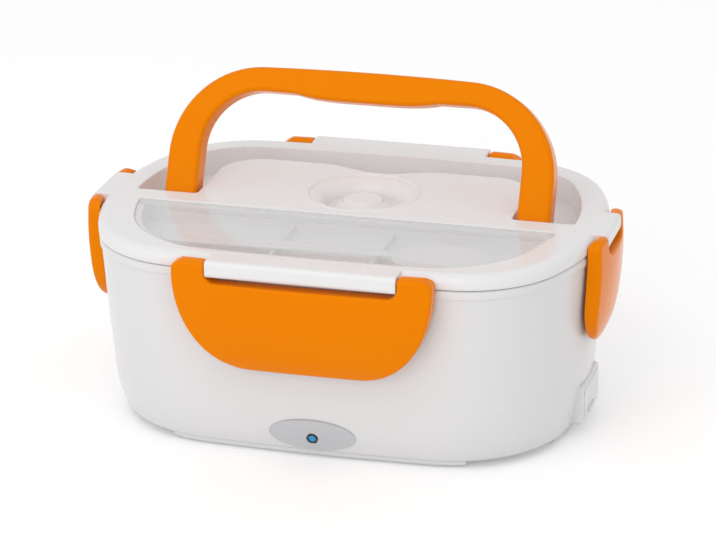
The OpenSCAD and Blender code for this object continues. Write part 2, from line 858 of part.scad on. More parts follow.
module inlet_pins() {
    color([0.80, 0.72, 0.45])
    for (side = [-1, 1])
        translate([hood_x - pin_back, hood_y + side * pin_half_pitch, socket_mid_z])
            rotate([0, 90, 0])
                rotate_extrude()
                    polygon([[0, 0], [pin_r, 0], [pin_r, pin_len - 1.1],
                             [pin_r - 0.3, pin_len - 0.4], [pin_r - 0.8, pin_len], [0, pin_len]]);
}

module inlet_flap() {
    color([0.91, 0.91, 0.92])
    difference() {
        union() {
            box([hood_x - seat_t + gap, hood_y - flap_half, flap_low_z],
                [hood_x + 0.1, hood_y + flap_half, flap_axis_z]);
            rod_y(hood_y - flap_half, hood_y + flap_half, flap_axis_x, flap_axis_z,
                  flap_barrel_r);
            // finger lip along the lower edge
            translate([hood_x - 0.1, hood_y, flap_low_z + 1])
                rotate([0, 90, 0])
                    linear_extrude(1.1)
                        polygon(rounded_box(1.8, 12, 0.85));
        }
        rod_y(hood_y - flap_half - 1, hood_y + flap_half + 1, flap_axis_x, flap_axis_z,
              flap_pin_r + pin_gap);
    }
}

module flap_pin() {
    color([0.75, 0.76, 0.78])
    rod_y(hood_y - flap_half - 1.5, hood_y + flap_half + 1.5, flap_axis_x, flap_axis_z,
          flap_pin_r - 0.01);
}

// ---- food tray and side bowl ---------------------------------------------------

shelf_z = bowl_top_z - bowl_wall;
shelf_w = 3.4;

// [height, inset] of the tray's outside, from its floor up, with the shelf's step
tray_levels = [[tray_under_z, 22], [tray_under_z + 0.8, 19.6], [tray_under_z + 3, 17.4],
               [tray_under_z + 7, 15.8], [shelf_z - 2.4, 11.6], [shelf_z - 0.4, 8.1],
               [tray_flange_z, tray_inset]];

module food_tray() {
    color([0.82, 0.83, 0.85])
    difference() {
        union() {
            skin([for (level = tray_levels) at_z(lid_ring(level.y), level.x)]);
            slab(lid_ring(tray_flange_inset), tray_flange_z, tray_flange_z + tray_flange_t);
        }
        skin([for (i = [0 : len(tray_levels) - 1])
            at_z(lid_ring(tray_levels[i].y + tray_wall
                          + (i == len(tray_levels) - 2 ? -0.2 : 0)),
                 tray_levels[i].x + (i < 3 ? tray_wall
                                     : i == len(tray_levels) - 1 ? tray_flange_t + 1
                                     : tray_wall / 2))]);
    }
}

// The bowl fills the right-hand end of the tray down to its own depth
bowl_gap = 1.2;
bowl_r = 10;
bowl_base_in = 12.6 + bowl_gap;
bowl_left_x = lid_a - bowl_base_in - bowl_len;

function inset_quarter(in) =
    quarter(lid_a - in, lid_b - in, corner_r - in, front_arc_r - in, side_arc_r - in);

bowl_side_points = len([for (p = inset_quarter(bowl_base_in))
    if (p.x > bowl_left_x + bowl_r + 8) p]);

function bowl_plan(in) =
    let (q = inset_quarter(in),
         x0 = bowl_left_x + in - bowl_base_in,
         side = [for (i = [0 : bowl_side_points - 1]) q[i]],
         top = side[len(side) - 1])
    concat([for (i = [len(side) - 1 : -1 : 1]) [side[i].x, -side[i].y]], side,
           [for (i = [0 : 5]) [x0 + bowl_r - bowl_r * sin(18 * i),
                               top.y - bowl_r + bowl_r * cos(18 * i)]],
           [for (i = [0 : 5]) [x0 + bowl_r - bowl_r * cos(18 * i),
                               -top.y + bowl_r - bowl_r * sin(18 * i)]]);

bowl_floor_z = bowl_top_z - bowl_depth;

bowl_levels = [[bowl_floor_z, 8.5], [bowl_floor_z + 0.8, 6.6], [bowl_floor_z + 2.6, 4.8],
               [bowl_floor_z + 6, 3.4], [bowl_top_z, 0]];

module side_bowl() {
    color([0.95, 0.95, 0.93])
    difference() {
        union() {
            skin([for (level = bowl_levels) at_z(bowl_plan(bowl_base_in + level.y), level.x)]);
            slab(bowl_plan(bowl_base_in - shelf_w), shelf_z + gap, bowl_top_z);
        }
        skin([for (i = [0 : len(bowl_levels) - 1])
            at_z(bowl_plan(bowl_base_in + bowl_levels[i].y + bowl_wall),
                 bowl_levels[i].x + (i == len(bowl_levels) - 1 ? 1 : bowl_wall))]);
    }
}

// ---- lid ---------------------------------------------------------------------------

cover_r = 50;
cover_lap = 3;

// The cover's recess: the front part of an outline of its own
function cover_plan(in) =
    let (q = quarter(cover_half - in, -cover_front_y - in, cover_r - in, front_arc_r - in,
                     side_arc_r - in),
         y0 = -cover_back_y + in,
         part = [for (p = q) if (p.y > y0 + 1) p],
         x0 = cover_half - in - y0 * y0 / (2 * (side_arc_r - in)))
    concat([[x0, -y0]], [[-x0, -y0]],
           [for (p = part) [-p.x, -p.y]],
           [for (i = [len(part) - 2 : -1 : 0]) [part[i].x, -part[i].y]]);

island_r = 19;
finger_half = 28;
finger_deep = 7.5;

// The island: back edge with a finger scoop at the middle, round back corners
function island_plan(in) =
    let (w = island_half - in, y1 = island_back_y - in, r = island_r - in, steps = 14)
    concat([[w, bar_back_y - 4]],
           arc_points([w - r, y1 - r], r, 0, 90, 8),
           [for (i = [0 : steps])
               let (x = finger_half * (1 - 2 * i / steps))
               [x, y1 - finger_deep * (1 + cos(180 * x / finger_half)) / 2]],
           arc_points([r - w, y1 - r], r, 90, 180, 8),
           [[-w, bar_back_y - 4]]);

// Rounded top edge of the lid, as [height below the top, inset]
lid_edge = [[lid_top_z - skirt_z, 0], [3.4, 0.1], [2.4, 0.4], [1.5, 1], [0.8, 1.9],
            [0.3, 3.1], [0, 4.8]];

dish_floor = 7.4;
dome_r = 15;
plug_seat = 4.9;
stem_r = 3.8;
vent_bore_r = stem_r + gap;
dish_rim_r = vent_r + 1.2;

// Inside of the dish as [radius, depth below the top], from the lip to the middle
dish_inside = concat(
    [[0, -1], [vent_r, -1], [vent_r - 0.4, 0.2]],
    [for (i = [0 : 6]) let (t = i / 6) [vent_r - 0.7 - (vent_r - dome_r - 2.5) * sin(90 * t),
                                        dish_floor - (dish_floor - 0.6) * cos(90 * t)]],
    [for (i = [0 : 5]) let (t = i / 5) [dome_r - (dome_r - plug_r - 1.4) * t,
                                        dish_floor - (dish_floor - plug_seat) * smooth(t)]],
    [[0, plug_seat]]);

module lid_bar(half) {
    edge_profile([[-3, latch_z - 2.4], [latch_n, latch_z - hinge_bar_r],
                  [latch_n, latch_z + hinge_bar_r], [-3, latch_z + hinge_bar_r]],
                 -half + gap, half - gap);
    rod_x(-half + gap, half - gap, -latch_n, latch_z, hinge_bar_r);
}

module lid_bar_bores(half) {
    for (side = [-1, 1])
        translate([side * (half - gap - 1.6), -latch_n, latch_z])
            rotate([0, 90, 0])
                cylinder(r = stub_r + pin_gap, h = 3.6, center = true);
}

module rear_half(points, z0, z1, y) {
    intersection() {
        slab(points, z0, z1);
        box([-lid_a, y, z0 - 1], [lid_a, lid_b, z1 + 1]);
    }
}

module vent_round(points) {
    translate([0, vent_y, 0])
        rotate_extrude()
            polygon(points);
}

rib_x = 22.5;
rib_h = 3.4;
trough_z = cover_hinge_z - cover_barrel_r - gap;
trough_front_y = cover_hinge_y - cover_barrel_r - gap;
cover_barrel_half = cover_half - 1.9;

// Plan of the spoon compartment below the cover's ledge, moved out by a wall
module pocket(wall, low, high) {
    intersection() {
        slab(cover_plan(cover_lap - wall), low, high);
        slab(lid_ring(rim_w - wall), low - 1, high + 1);
    }
}

// Trough along the compartment's back edge, in which the cover's barrel turns
module hinge_trough(wall, low, high) {
    intersection() {
        slab(cover_plan(-wall), low, high);
        box([-lid_a, trough_front_y - wall, low - 1], [lid_a, cover_back_y + wall, high + 1]);
    }
}

module lid_shell() {
    color([0.94, 0.94, 0.95])
    difference() {
        union() {
            difference() {
                skin([for (e = lid_edge) at_z(lid_ring(e.y), lid_top_z - e.x)]);
                slab(lid_ring(skirt_wall), skirt_z - 1, lid_under_z);
            }
            pocket(lid_skin, spoon_floor_z - 1.6, lid_under_z + eps);
            hinge_trough(lid_skin, trough_z - lid_skin, lid_under_z + eps);
            rear_half(lid_ring(rim_w - lid_skin), tub_under_z, lid_under_z + eps,
                      bar_back_y - lid_skin);
            for (which = [0, 2])
                on_edge(which)
                    lid_bar(long_notch_half);
            for (which = [1, 3])
                on_edge(which)
                    lid_bar(short_notch_half);
            for (side = [-1, 1])
                translate([side * (cover_half + 1), cover_hinge_y, cover_hinge_z])
                    rotate([0, 90, 0])
                        cylinder(r = 2, h = 5, center = true);
            vent_round([[vent_r - 0.4, lid_top_z - 1], [vent_r - 0.2, lid_top_z + 0.25],
                        [vent_r + 0.3, lid_top_z + 0.5], [vent_r + 0.8, lid_top_z + 0.4],
                        [dish_rim_r, lid_top_z - 1]]);
        }
        // handle channel, round the island
        difference() {
            rear_half(lid_ring(rim_w), handle_floor_z, lid_top_z + 2, bar_back_y);
            slab(island_plan(0), handle_floor_z - 1, lid_top_z + 3);
        }
        // hollow under the island, round the vent's dish and the handle's bosses
        difference() {
            slab(island_plan(lid_skin), tub_under_z - 1, lid_under_z);
            vent_round(concat([[0, lid_top_z]], [[vent_r + lid_skin, lid_top_z]],
                              [for (p = dish_inside) if (p.y > 0.5)
                                  [p.x + (p.x > dome_r + 2 ? 1 : p.x > 0 ? 0.6 : 0),
                                   lid_top_z - p.y - 1.5]]));
            vent_round([[0, lid_top_z - plug_seat], [vent_bore_r + 1.6, lid_top_z - plug_seat],
                        [vent_bore_r + 1.6, inner_top_z], [0, inner_top_z]]);
            for (side = [-1, 1])
                translate([side * (island_half - lid_skin), pivot_y, pivot_z])
                    rotate([0, 90, 0])
                        cylinder(r = pivot_r + 2.4, h = 2 * 3, center = true);
        }
        // dish of the vent, and the bore for the plug's stem
        vent_round([for (p = dish_inside) [p.x, lid_top_z - p.y]]);
        vent_round([[0, lid_top_z + 1], [0, tub_under_z - 2], [vent_bore_r, tub_under_z - 2],
                    [vent_bore_r, lid_top_z + 1]]);
        // recess of the clear cover, and the spoon compartment below it
        slab(cover_plan(0), cover_top_z - cover_t - 0.1, lid_top_z + 1);
        difference() {
            pocket(0, spoon_floor_z, lid_top_z);
            for (x = [-rib_x, rib_x])
                box([x - 0.8, -lid_b, spoon_floor_z - 1],
                    [x + 0.8, 0, spoon_floor_z + rib_h]);
        }
        hinge_trough(0, trough_z, lid_top_z);
        for (side = [-1, 1])
            translate([side * cover_half, cover_hinge_y, cover_hinge_z])
                rotate([0, 90, 0])
                    cylinder(r = cover_stub_r + pin_gap, h = 5, center = true);
        // bores of the handle's pivot pins
        for (side = [-1, 1])
            translate([side * (island_half - 1), pivot_y, pivot_z])
                rotate([0, 90, 0])
                    cylinder(r = pivot_r + pin_gap, h = 9, center = true);
        for (which = [0, 2])
            on_edge(which)
                lid_bar_bores(long_notch_half);
        for (which = [1, 3])
            on_edge(which)
                lid_bar_bores(short_notch_half);
    }
}

inner_flange_t = 1.3;

module lid_inner() {
    color([0.90, 0.90, 0.91])
    difference() {
        union() {
            skin([at_z(lid_ring(plug_inset + 2.4), inner_under_z),
                  at_z(lid_ring(plug_inset + 0.7), inner_under_z + 0.7),
                  at_z(lid_ring(plug_inset), inner_under_z + 2.4),
                  at_z(lid_ring(plug_inset), lid_under_z)]);
            slab(lid_ring(4.2), lid_under_z - inner_flange_t, lid_under_z);
        }
        slab(lid_ring(plug_inset + plug_wall), inner_top_z, lid_under_z + 1);
        translate([0, vent_y, 0])
            cylinder(r = stem_r + 0.8, h = 200);
    }
}

module lid_seal() {
    color([0.85, 0.86, 0.88])
    difference() {
        union() {
            slab(lid_ring(seal_inset), tray_flange_z + tray_flange_t + seal_lip + 0.8,
                 lid_under_z - inner_flange_t);
            slab(lid_ring(seal_inset + 0.7), tray_flange_z + tray_flange_t + seal_lip,
                 tray_flange_z + tray_flange_t + seal_lip + 1);
        }
        slab(lid_ring(seal_inset + seal_w), tray_flange_z, lid_under_z);
        slab(lid_ring(seal_inset + seal_w - 0.7), tray_flange_z,
             tray_flange_z + tray_flange_t + seal_lip + 0.8);
    }
}

plug_top_z = lid_top_z - plug_seat + 2.6;
plug_stop_z = inner_under_z - plug_travel - 0.4;

module vent_plug() {
    color([0.90, 0.90, 0.91])
    vent_round([[0, plug_stop_z - 1.2], [stem_r - 0.6, plug_stop_z - 1.2],
                [stem_r + 1.6, plug_stop_z - 0.4], [stem_r + 1.6, plug_stop_z],
                [stem_r, plug_stop_z], [stem_r, lid_top_z - plug_seat + 0.05],
                [plug_r - 0.4, lid_top_z - plug_seat + 0.05],
                [plug_r, lid_top_z - plug_seat + 0.5], [plug_r, plug_top_z - 0.9],
                [plug_r - 0.3, plug_top_z - 0.3], [plug_r - 1, plug_top_z],
                [plug_r - 1.8, plug_top_z - 0.1], [plug_r - 3, plug_top_z - 0.6],
                [0, plug_top_z - 0.9]]);
}

module spoon_cover() {
    color([0.85, 0.90, 0.93, 0.4])
    union() {
        intersection() {
            slab(cover_plan(gap), cover_top_z - cover_t, cover_top_z);
            box([-lid_a, -lid_b, lid_top_z - 5], [lid_a, cover_hinge_y, lid_top_z]);
        }
        rod_x(-cover_barrel_half, cover_barrel_half, cover_hinge_y, cover_hinge_z,
              cover_barrel_r);
        for (side = [-1, 1])
            translate([side * (cover_half - 0.3), cover_hinge_y, cover_hinge_z])
                rotate([0, 90, 0])
                    cylinder(r = cover_stub_r, h = 5, center = true);
    }
}

// Spoon: an oval bowl, a neck and a flat handle that widens to its end
spoon_y = -45;
spoon_bowl_a = 24;
spoon_bowl_b = 15;
spoon_t = 1.4;
spoon_z = spoon_floor_z + rib_h + 0.2;

function spoon_half(x) =
    x < 2 * spoon_bowl_a - 3
    ? spoon_bowl_b * sqrt(max(1 - pow((x - spoon_bowl_a) / spoon_bowl_a, 2), 0))
    : let (t = (x - 2 * spoon_bowl_a + 3) / (spoon_len - 2 * spoon_bowl_a + 3))
      3.4 + 3.2 * smooth(min(t * 1.1, 1));

function spoon_plan() =
    let (steps = 36,
         xs = [for (i = [0 : steps]) (spoon_len - 3) * (1 - cos(180 * i / steps)) / 2])
    concat([for (x = xs) [x, -max(spoon_half(x), x > spoon_bowl_a ? 3.4 : 0)]],
           [[spoon_len, -3], [spoon_len, 3]],
           [for (i = [steps : -1 : 0]) [xs[i], max(spoon_half(xs[i]), xs[i] > spoon_bowl_a ? 3.4 : 0)]]);

module spoon() {
    color([0.97, 0.97, 0.97])
    translate([spoon_len / 2, spoon_y, spoon_z])
        mirror([1, 0, 0])
            difference() {
                union() {
                    linear_extrude(spoon_t)
                        polygon(spoon_plan());
                    // underside of the bowl
                    intersection() {
                        translate([spoon_bowl_a, 0, 34.5])
                            sphere(r = 37.4, $fn = 64);
                        translate([0, 0, -2.9])
                            linear_extrude(2.9 + spoon_t)
                                polygon([for (p = ellipse_points(spoon_bowl_a, spoon_bowl_b, 40))
                                    [p.x + spoon_bowl_a, p.y]]);
                    }
                }
                intersection() {
                    translate([spoon_bowl_a, 0, 35.6])
                        sphere(r = 37, $fn = 64);
                    translate([0, 0, -3])
                        linear_extrude(10)
                            polygon([for (p = ellipse_points(spoon_bowl_a - 1.4, spoon_bowl_b - 1.4, 40))
                                [p.x + spoon_bowl_a, p.y]]);
                }
            }
}

// ---- handle --------------------------------------------------------------------------

handle_edge = 1.3;
leg_inner_r = 27;
crown = 0.7;
grip_bump = 2.2;
bump_half = 33;

// Outer and inner edge of the upright handle, from the right foot over to the left
// one, as pairs of [x, height above the pivot]
function handle_edges() =
    let (a = handle_w / 2,
         b = a - leg_w,
         top = handle_h,
         under = handle_h - grip_w,
         foot = -handle_t / 2,
         r = shoulder_r,
         q = leg_inner_r,
         outer = concat([[a, foot]], arc_points([a - r, top - r], r, 0, 90, 8),
                        [for (i = [-7 : 7]) let (x = -(a - r) * i / 8)
                            [x, top + crown * (1 - pow(x / (a - r), 2))]],
                        arc_points([r - a, top - r], r, 90, 180, 8), [[-a, foot]]),
         inner = concat([[b, foot]], arc_points([b - q, under - q], q, 0, 90, 8),
                        [for (i = [-7 : 7]) let (t = pow(1 - abs(i) / 7, 1.6))
                            [-sign(i) * bump_half * (1 - t),
                             under - grip_bump * (1 - pow(1 - t, 4))]],
                        arc_points([q - b, under - q], q, 90, 180, 8), [[-b, foot]]))
    [for (i = [0 : len(outer) - 1]) [outer[i], inner[i]]];

// Cross-section of the handle between an outer and an inner edge point
function handle_section(o, i) =
    let (u = handle_edge * unit(o - i), w = handle_t / 2, h = w - handle_edge)
    [[o.x, -h, o.y], [o.x, h, o.y], [o.x - u.x, w, o.y - u.y], [i.x + u.x, w, i.y + u.y],
     [i.x, h, i.y], [i.x, -h, i.y], [i.x + u.x, -w, i.y + u.y], [o.x - u.x, -w, o.y - u.y]];

module upright_handle() {
    intersection() {
        skin([for (pair = handle_edges()) handle_section(pair[0], pair[1])]);
        // round feet of the legs
        translate([-lid_a, 0, 0])
            rotate([90, 0, 90])
                linear_extrude(lid_len)
                    polygon(concat([[handle_t, 2], [handle_t, 2 * handle_h],
                                    [-handle_t, 2 * handle_h], [-handle_t, 2]],
                                   arc_points([0, 0], handle_t / 2 + 0.03, 180, 360, 12)));
    }
    for (side = [-1, 1])
        translate([side * (handle_w / 2 - leg_w - 1.5), 0, 0])
            rotate([0, 90, 0])
                cylinder(r = pivot_r, h = 7.4, center = true);
}

module handle() {
    color([0.95, 0.51, 0.0])
    translate([0, pivot_y, pivot_z])
        rotate([-handle_lean, 0, 0])
            upright_handle();
}

// ---- latches ------------------------------------------------------------------------------

latch_low_z = lid_top_z - latch_drop;
notch_z = latch_z - 7.1;
notch_r = 4.5;

// Side view of a latch as [outward, z]: bowed outer face, ear round the pivot
latch_outer = [[3, latch_low_z], [4.6, latch_low_z + 4], [6, latch_low_z + 10],
               [7.1, latch_low_z + 18], [7.8, latch_low_z + 27], [8, latch_low_z + 34],
               [7.9, latch_low_z + 39], [latch_n + ear_r, latch_z]];

latch_side = concat([[-1.4, latch_low_z]], latch_outer,
    [for (i = [1 : 11]) [latch_n + ear_r * cos(15 * i), latch_z + ear_r * sin(15 * i)]],
    [[latch_n - ear_r, latch_z], [latch_n - ear_r, flange_z]]);

// Front view of a latch as [along, z]: straight shoulders, then an elliptic foot
function latch_front_view(half, flat, shoulder, in) =
    let (w = half - in, low = latch_low_z + in, top = latch_z + ear_r + 1, c = 5.5,
         a = w - flat, b = shoulder - low,
         right = concat([for (i = [0 : 12]) [flat + a * sin(7.5 * i), shoulder - b * cos(7.5 * i)]],
                        [[w, top - c - 1], [w - c, top]]))
    concat(right, [for (i = [len(right) - 1 : -1 : 0]) [-right[i].x, right[i].y]]);

module latch(half, flat, shoulder, notch, hook) {
    difference() {
        intersection() {
            edge_face(latch_front_view(half, flat, shoulder, 0), -4, 12);
            edge_profile(latch_side, -half - 1, half + 1);
        }
        // hollow behind the face
        intersection() {
            edge_face(latch_front_view(half, flat, shoulder, latch_wall), -8, 12);
            edge_profile(concat([[-8, latch_low_z]],
                                [for (p = latch_outer) [p.x - latch_wall, p.y]],
                                [[-8, latch_z]]), -half, half);
            edge_profile([[-9, latch_low_z + latch_wall], [9, latch_low_z + latch_wall],
                          [9, notch_z - latch_wall], [-9, notch_z - latch_wall]], -half, half);
        }
        // notch between the ears, for the lid's bar
        edge_face(concat(arc_points([notch_r - notch, notch_z + notch_r], notch_r, 180, 270, 6),
                         arc_points([notch - notch_r, notch_z + notch_r], notch_r, 270, 360, 6),
                         [[notch, latch_z + 9], [-notch, latch_z + 9]]), -5, 14);
    }
    // hook that holds the body's rib from below
    intersection() {
        edge_profile([[latch_outer[4].x - 1, keeper_under_z - 1.4],
                      [latch_outer[4].x - 1, keeper_tip_z + 1.6], [keeper_out + 0.9, keeper_tip_z + 0.6],
                      [keeper_out + 0.3, keeper_tip_z - 0.2],
                      [keeper_out - 0.7, keeper_under_z - 0.2],
                      [keeper_out - 0.7, keeper_under_z - 1.8]],
                     -hook, hook);
        edge_face(latch_front_view(half, flat, shoulder, 1), -4, 12);
    }
    for (side = [-1, 1])
        translate([side * (notch - 1.4), -latch_n, latch_z])
            rotate([0, 90, 0])
                cylinder(r = stub_r, h = 3.6, center = true);
}

module long_latch() {
    color([0.95, 0.51, 0.0])
        latch(long_latch_half, 24, lid_top_z - 5.4, long_notch_half, long_keeper_half - 1);
}

module short_latch() {
    color([0.95, 0.51, 0.0])
        latch(short_latch_half, 9, latch_low_z + 20, short_notch_half, short_keeper_half - 0.6);
}

module latch_front() {
    on_edge(0) long_latch();
}

module latch_back() {
    on_edge(2) long_latch();
}

module latch_left() {
    on_edge(3) short_latch();
}

module latch_right() {
    on_edge(1) short_latch();
}

outer_body();
base_cover();
rubber_feet();
base_screws();
inner_pan();
heating_plate();
heater_block();
heater_clamp();
clamp_screws();
thermostat();
thermal_fuse();
wiring();
lamp_board();
lamp_lens();
lamp_panel();
inlet_socket();
inlet_pins();
inlet_flap();
flap_pin();
food_tray();
side_bowl();
lid_shell();
lid_inner();
lid_seal();
vent_plug();
spoon_cover();
spoon();
handle();
latch_front();
latch_back();
latch_left();
latch_right();
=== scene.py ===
"""Looks of the electric lunch box: smooth moulded shells, finishes, light and camera.

Lengths are millimetres in the part's own frame and angles are degrees. piece() turns the
millimetres into Blender's metres. The floor, the lamps, the camera's clipping range and the
scales of the textures are given in metres.
"""

import json
import math
from collections import namedtuple

import bmesh
import bpy
from mathutils import Matrix, Vector
from mathutils.geometry import tessellate_polygon


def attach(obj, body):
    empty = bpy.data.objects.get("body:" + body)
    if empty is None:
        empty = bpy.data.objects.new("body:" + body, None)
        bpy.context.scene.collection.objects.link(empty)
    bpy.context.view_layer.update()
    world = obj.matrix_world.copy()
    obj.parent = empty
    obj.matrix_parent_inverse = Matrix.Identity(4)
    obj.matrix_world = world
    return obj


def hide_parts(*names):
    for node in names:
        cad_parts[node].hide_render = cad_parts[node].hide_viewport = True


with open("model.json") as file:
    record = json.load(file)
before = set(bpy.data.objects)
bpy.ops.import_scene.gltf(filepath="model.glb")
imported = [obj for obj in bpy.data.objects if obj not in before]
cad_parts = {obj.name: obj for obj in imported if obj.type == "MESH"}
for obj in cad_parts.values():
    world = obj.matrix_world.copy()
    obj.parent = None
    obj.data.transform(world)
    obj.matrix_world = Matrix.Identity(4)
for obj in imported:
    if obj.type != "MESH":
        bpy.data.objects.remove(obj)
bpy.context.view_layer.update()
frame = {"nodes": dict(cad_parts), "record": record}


def sine(degrees):
    return math.sin(math.radians(degrees))


def cosine(degrees):
    return math.cos(math.radians(degrees))


# ---- sizes ----

MM = 0.001

# Plan of the lid: half length, half depth, radii of its corners, sides and ends.
LID_A, LID_B = 112.5, 80
CORNER_R, FRONT_ARC_R, SIDE_ARC_R = 47, 880, 121

# Lid: heights, and the rounding along its rim.
LID_TOP, LID_UNDER, SKIRT_Z = 94, 91.7, 87.3
RIM_ROUND_H, RIM_ROUND_W = 4, 4.8

# Body: heights, the round belly over its foot and the draft of its walls.
RIM_Z, LEDGE_Z, FLANGE_Z, FOOT_Z = 87, 85.4, 83.3, 3.5
BELLY_H, BELLY_IN, BELLY_FLAT = 18.5, 6, 2.5
BODY_INSET, DRAFT_X, DRAFT_Y = 1, 0.075, 0.11

# Handle's channel, the island in it and the finger scoop in the island's back.
RIM_W, CHANNEL_FRONT_Y, CHANNEL_FLOOR, CHANNEL_CORNER = 12.5, -3.7, 81.2, 2.2
CHANNEL_EDGE_R, CHANNEL_FILLET = 0.6, 1.4
ISLAND_HALF, ISLAND_BACK_Y, ISLAND_R = 72, 49, 19
SCOOP_HALF, SCOOP_DEEP = 28, 7.5

# Steam vent: the dish, the hump in it and the plug in the hump's middle.
VENT_Y, VENT_R, DISH_DEEP, DISH_FLOOR_R = 14.75, 24.7, 7.4, 16.8
HUMP_R, HUMP_TOP_R, HUMP_DEEP = 15.6, 6.6, 2.6
PLUG_R, PLUG_SEAT, PLUG_LOW, STEM_R, BORE_LOW = 9.2, 4.9, 72.4, 3.8, 79.6

# Clear cover with its hinge as (y, z), its barrel and its recess.
COVER_HALF, COVER_BACK_Y, COVER_FRONT_Y, COVER_R = 95.7, -15, -72, 50
COVER_TOP, COVER_T, COVER_LAP, COVER_GAP, COVER_CORNER = 93.8, 1.2, 3, 0.3, 2.6
COVER_HINGE = (-17.2, 91.9)
BARREL_R, BARREL_HALF, BARREL_PIN_R, BARREL_PIN_HALF = 1.9, 93.8, 1, 97.6
RECESS_EDGE_R, TROUGH_Y, TROUGH_Z = 0.5, -19.4, 89.7

# Spoon's pocket with its ribs, and the spoon.
POCKET_FLOOR, POCKET_FILLET, POCKET_CORNER = 84.6, 1.6, 1.2
SPOON_RIB_X, SPOON_RIB_BACK_Y = 22.5, -18.2
SPOON_Y, SPOON_TIP_X, SPOON_LEN, SPOON_RISE, SPOON_T = -45, 75, 150, 3.6, 1.4
SPOON_BOWL_MID, SPOON_BOWL_HALF, SPOON_BOWL_DEEP = 24, 15, 2.5
NECK_AT, NECK_HALF, TAIL_HALF, TAIL_R = 45, 3.4, 6.6, 6

# Handle and its pivot.
HANDLE_W, HANDLE_H, HANDLE_T, HANDLE_LEAN = 176.6, 62.4, 12, 25
LEG_W, GRIP_W, SHOULDER_R, LEG_INNER_R, HANDLE_EDGE_R = 14.8, 10.9, 42, 27, 2.1
CROWN, GRIP_BUMP, BUMP_HALF = 0.7, 2.2, 33
PIVOT_Y, PIVOT_Z, PIVOT_R, PIVOT_LEN = 2.6, 87.5, 2.5, 5.3

# Latches: n is outwards from the lid's edge, and LATCH_N, LATCH_Z is the hinge.
LATCH_LOW, LATCH_N, LATCH_Z, LATCH_WALL = 44.6, 4, 91.6, 2.4
EAR_R, EAR_RISE, EAR_CORNER = 3.6, 2.5, 3.4
NOTCH_Z, NOTCH_R, BAR_R, BAR_OVER_NOTCH = 84.5, 4.5, 2.8, 2.3
LATCH_EDGE_R, LATCH_BACK_EDGE_R = 1.1, 0.5

# Face of a latch as (z, n), from its lower edge to its hinge.
LATCH_FACE = ((LATCH_LOW, 2.3), (50, 4.6), (56, 6), (64, 7.1), (73, 7.8), (80, 8),
              (85, 7.9), (LATCH_Z, 7.6))

# Half lengths of a latch, its flat lower edge, notch, hook and catch, the height of its
# shoulders, how much slimmer it and its hinge bar are, and the radius of its pins.
LatchSize = namedtuple("LatchSize", "half flat shoulder notch hook catch slim bar_in pin_r")
LONG_LATCH = LatchSize(57, 24, LID_TOP - 5.4, 42, 25, 26, 0, 0, 1)
SHORT_LATCH = LatchSize(25.5, 9, LATCH_LOW + 20, 14.5, 8.4, 9, 1.6, 2.1, 0.6)

# The latches at the lid's four edges, each edge a quarter turn on from the one before.
LATCHES = {"front": LONG_LATCH, "right": SHORT_LATCH, "back": LONG_LATCH, "left": SHORT_LATCH}

# Inlet's hood, and the flap's seat and socket's mouth as (width, low, high).
HOOD_X, HOOD_Y, HOOD_W, HOOD_LOW, HOOD_TOP, HOOD_DEEP = 108, -1, 34, 5.5, 23.5, 19
FLAP_SEAT, FLAP_SEAT_DEEP = (28.6, 7.4, 21.7), 1.5
SOCKET_MOUTH = (22, 8.9, 17.9)

# Oval panel, and the lamp below its middle.
PANEL_Z, PANEL_TILT, PANEL_A, PANEL_B = 12.4, 14, 19.5, 8
LAMP_R, LAMP_DROP = 2.1, -1.5

# Side bowl: inset from the lid's plan, length and corners.
BOWL_INSET, BOWL_LEN, BOWL_CORNER = 13.8, 66, 10

# Steps along a plan's end, corner and side, along the handle's leg, shoulder and grip,
# and round the vent.
PLAN_STEPS, BOWL_STEPS, HANDLE_STEPS, VENT_STEPS = (10, 24, 10), (10, 24, 24), (10, 20, 24), 96


# ---- camera ----

CAMERA_AZIMUTH, CAMERA_ELEVATION, CAMERA_ROLL = 15.8, 21.39, -0.67
CAMERA_DISTANCE = 1400
CAMERA_AIM = Vector((0, 0, 50))
CAMERA_LENS, CAMERA_SENSOR = 157.46, 36
CAMERA_SHIFT = (0.0038, 0.0360)


def make_camera():
    data = bpy.data.cameras.new("camera")
    data.lens, data.sensor_width = CAMERA_LENS, CAMERA_SENSOR
    data.shift_x, data.shift_y = CAMERA_SHIFT
    data.clip_start, data.clip_end = 0.05, 20
    camera = bpy.data.objects.new("camera", data)
    bpy.context.scene.collection.objects.link(camera)
    azimuth, elevation = CAMERA_AZIMUTH, CAMERA_ELEVATION
    back = Vector((sine(azimuth) * cosine(elevation), -cosine(azimuth) * cosine(elevation),
                   sine(elevation)))
    right = Vector((cosine(azimuth), sine(azimuth), 0))
    up = back.cross(right)
    turn = Matrix((right, up, back)).transposed().to_4x4()
    roll = Matrix.Rotation(math.radians(CAMERA_ROLL), 4, "Z")
    place = Matrix.Translation((CAMERA_AIM + back * CAMERA_DISTANCE) * MM)
    camera.matrix_world = place @ turn @ roll
    bpy.context.scene.camera = camera


# ---- materials ----

# Noise scales, in cells per metre.
FLOW_MARKS, POLISH_PATCHES, MOULD_RIPPLE = 14, 60, 900
RUBBER_TONE, RUBBER_WEAR, RUBBER_GRAIN = 40, 200, 1500
METAL_GRAIN, SHEET_POLISH, SHEET_WAVES = 300, 30, 50

# Nearly all of the noise lies between these.
NOISE_LOW, NOISE_HIGH = 0.3, 0.7


def principled(name, colour, roughness, **inputs):
    """A material with one Principled shader, whose named sockets are set here."""
    material = bpy.data.materials.new(name)
    material.use_nodes = True
    shader = material.node_tree.nodes["Principled BSDF"]
    shader.inputs["Base Color"].default_value = (*colour, 1)
    shader.inputs["Roughness"].default_value = roughness
    for socket, value in inputs.items():
        shader.inputs[socket.replace("_", " ")].default_value = value
    return material, material.node_tree, shader


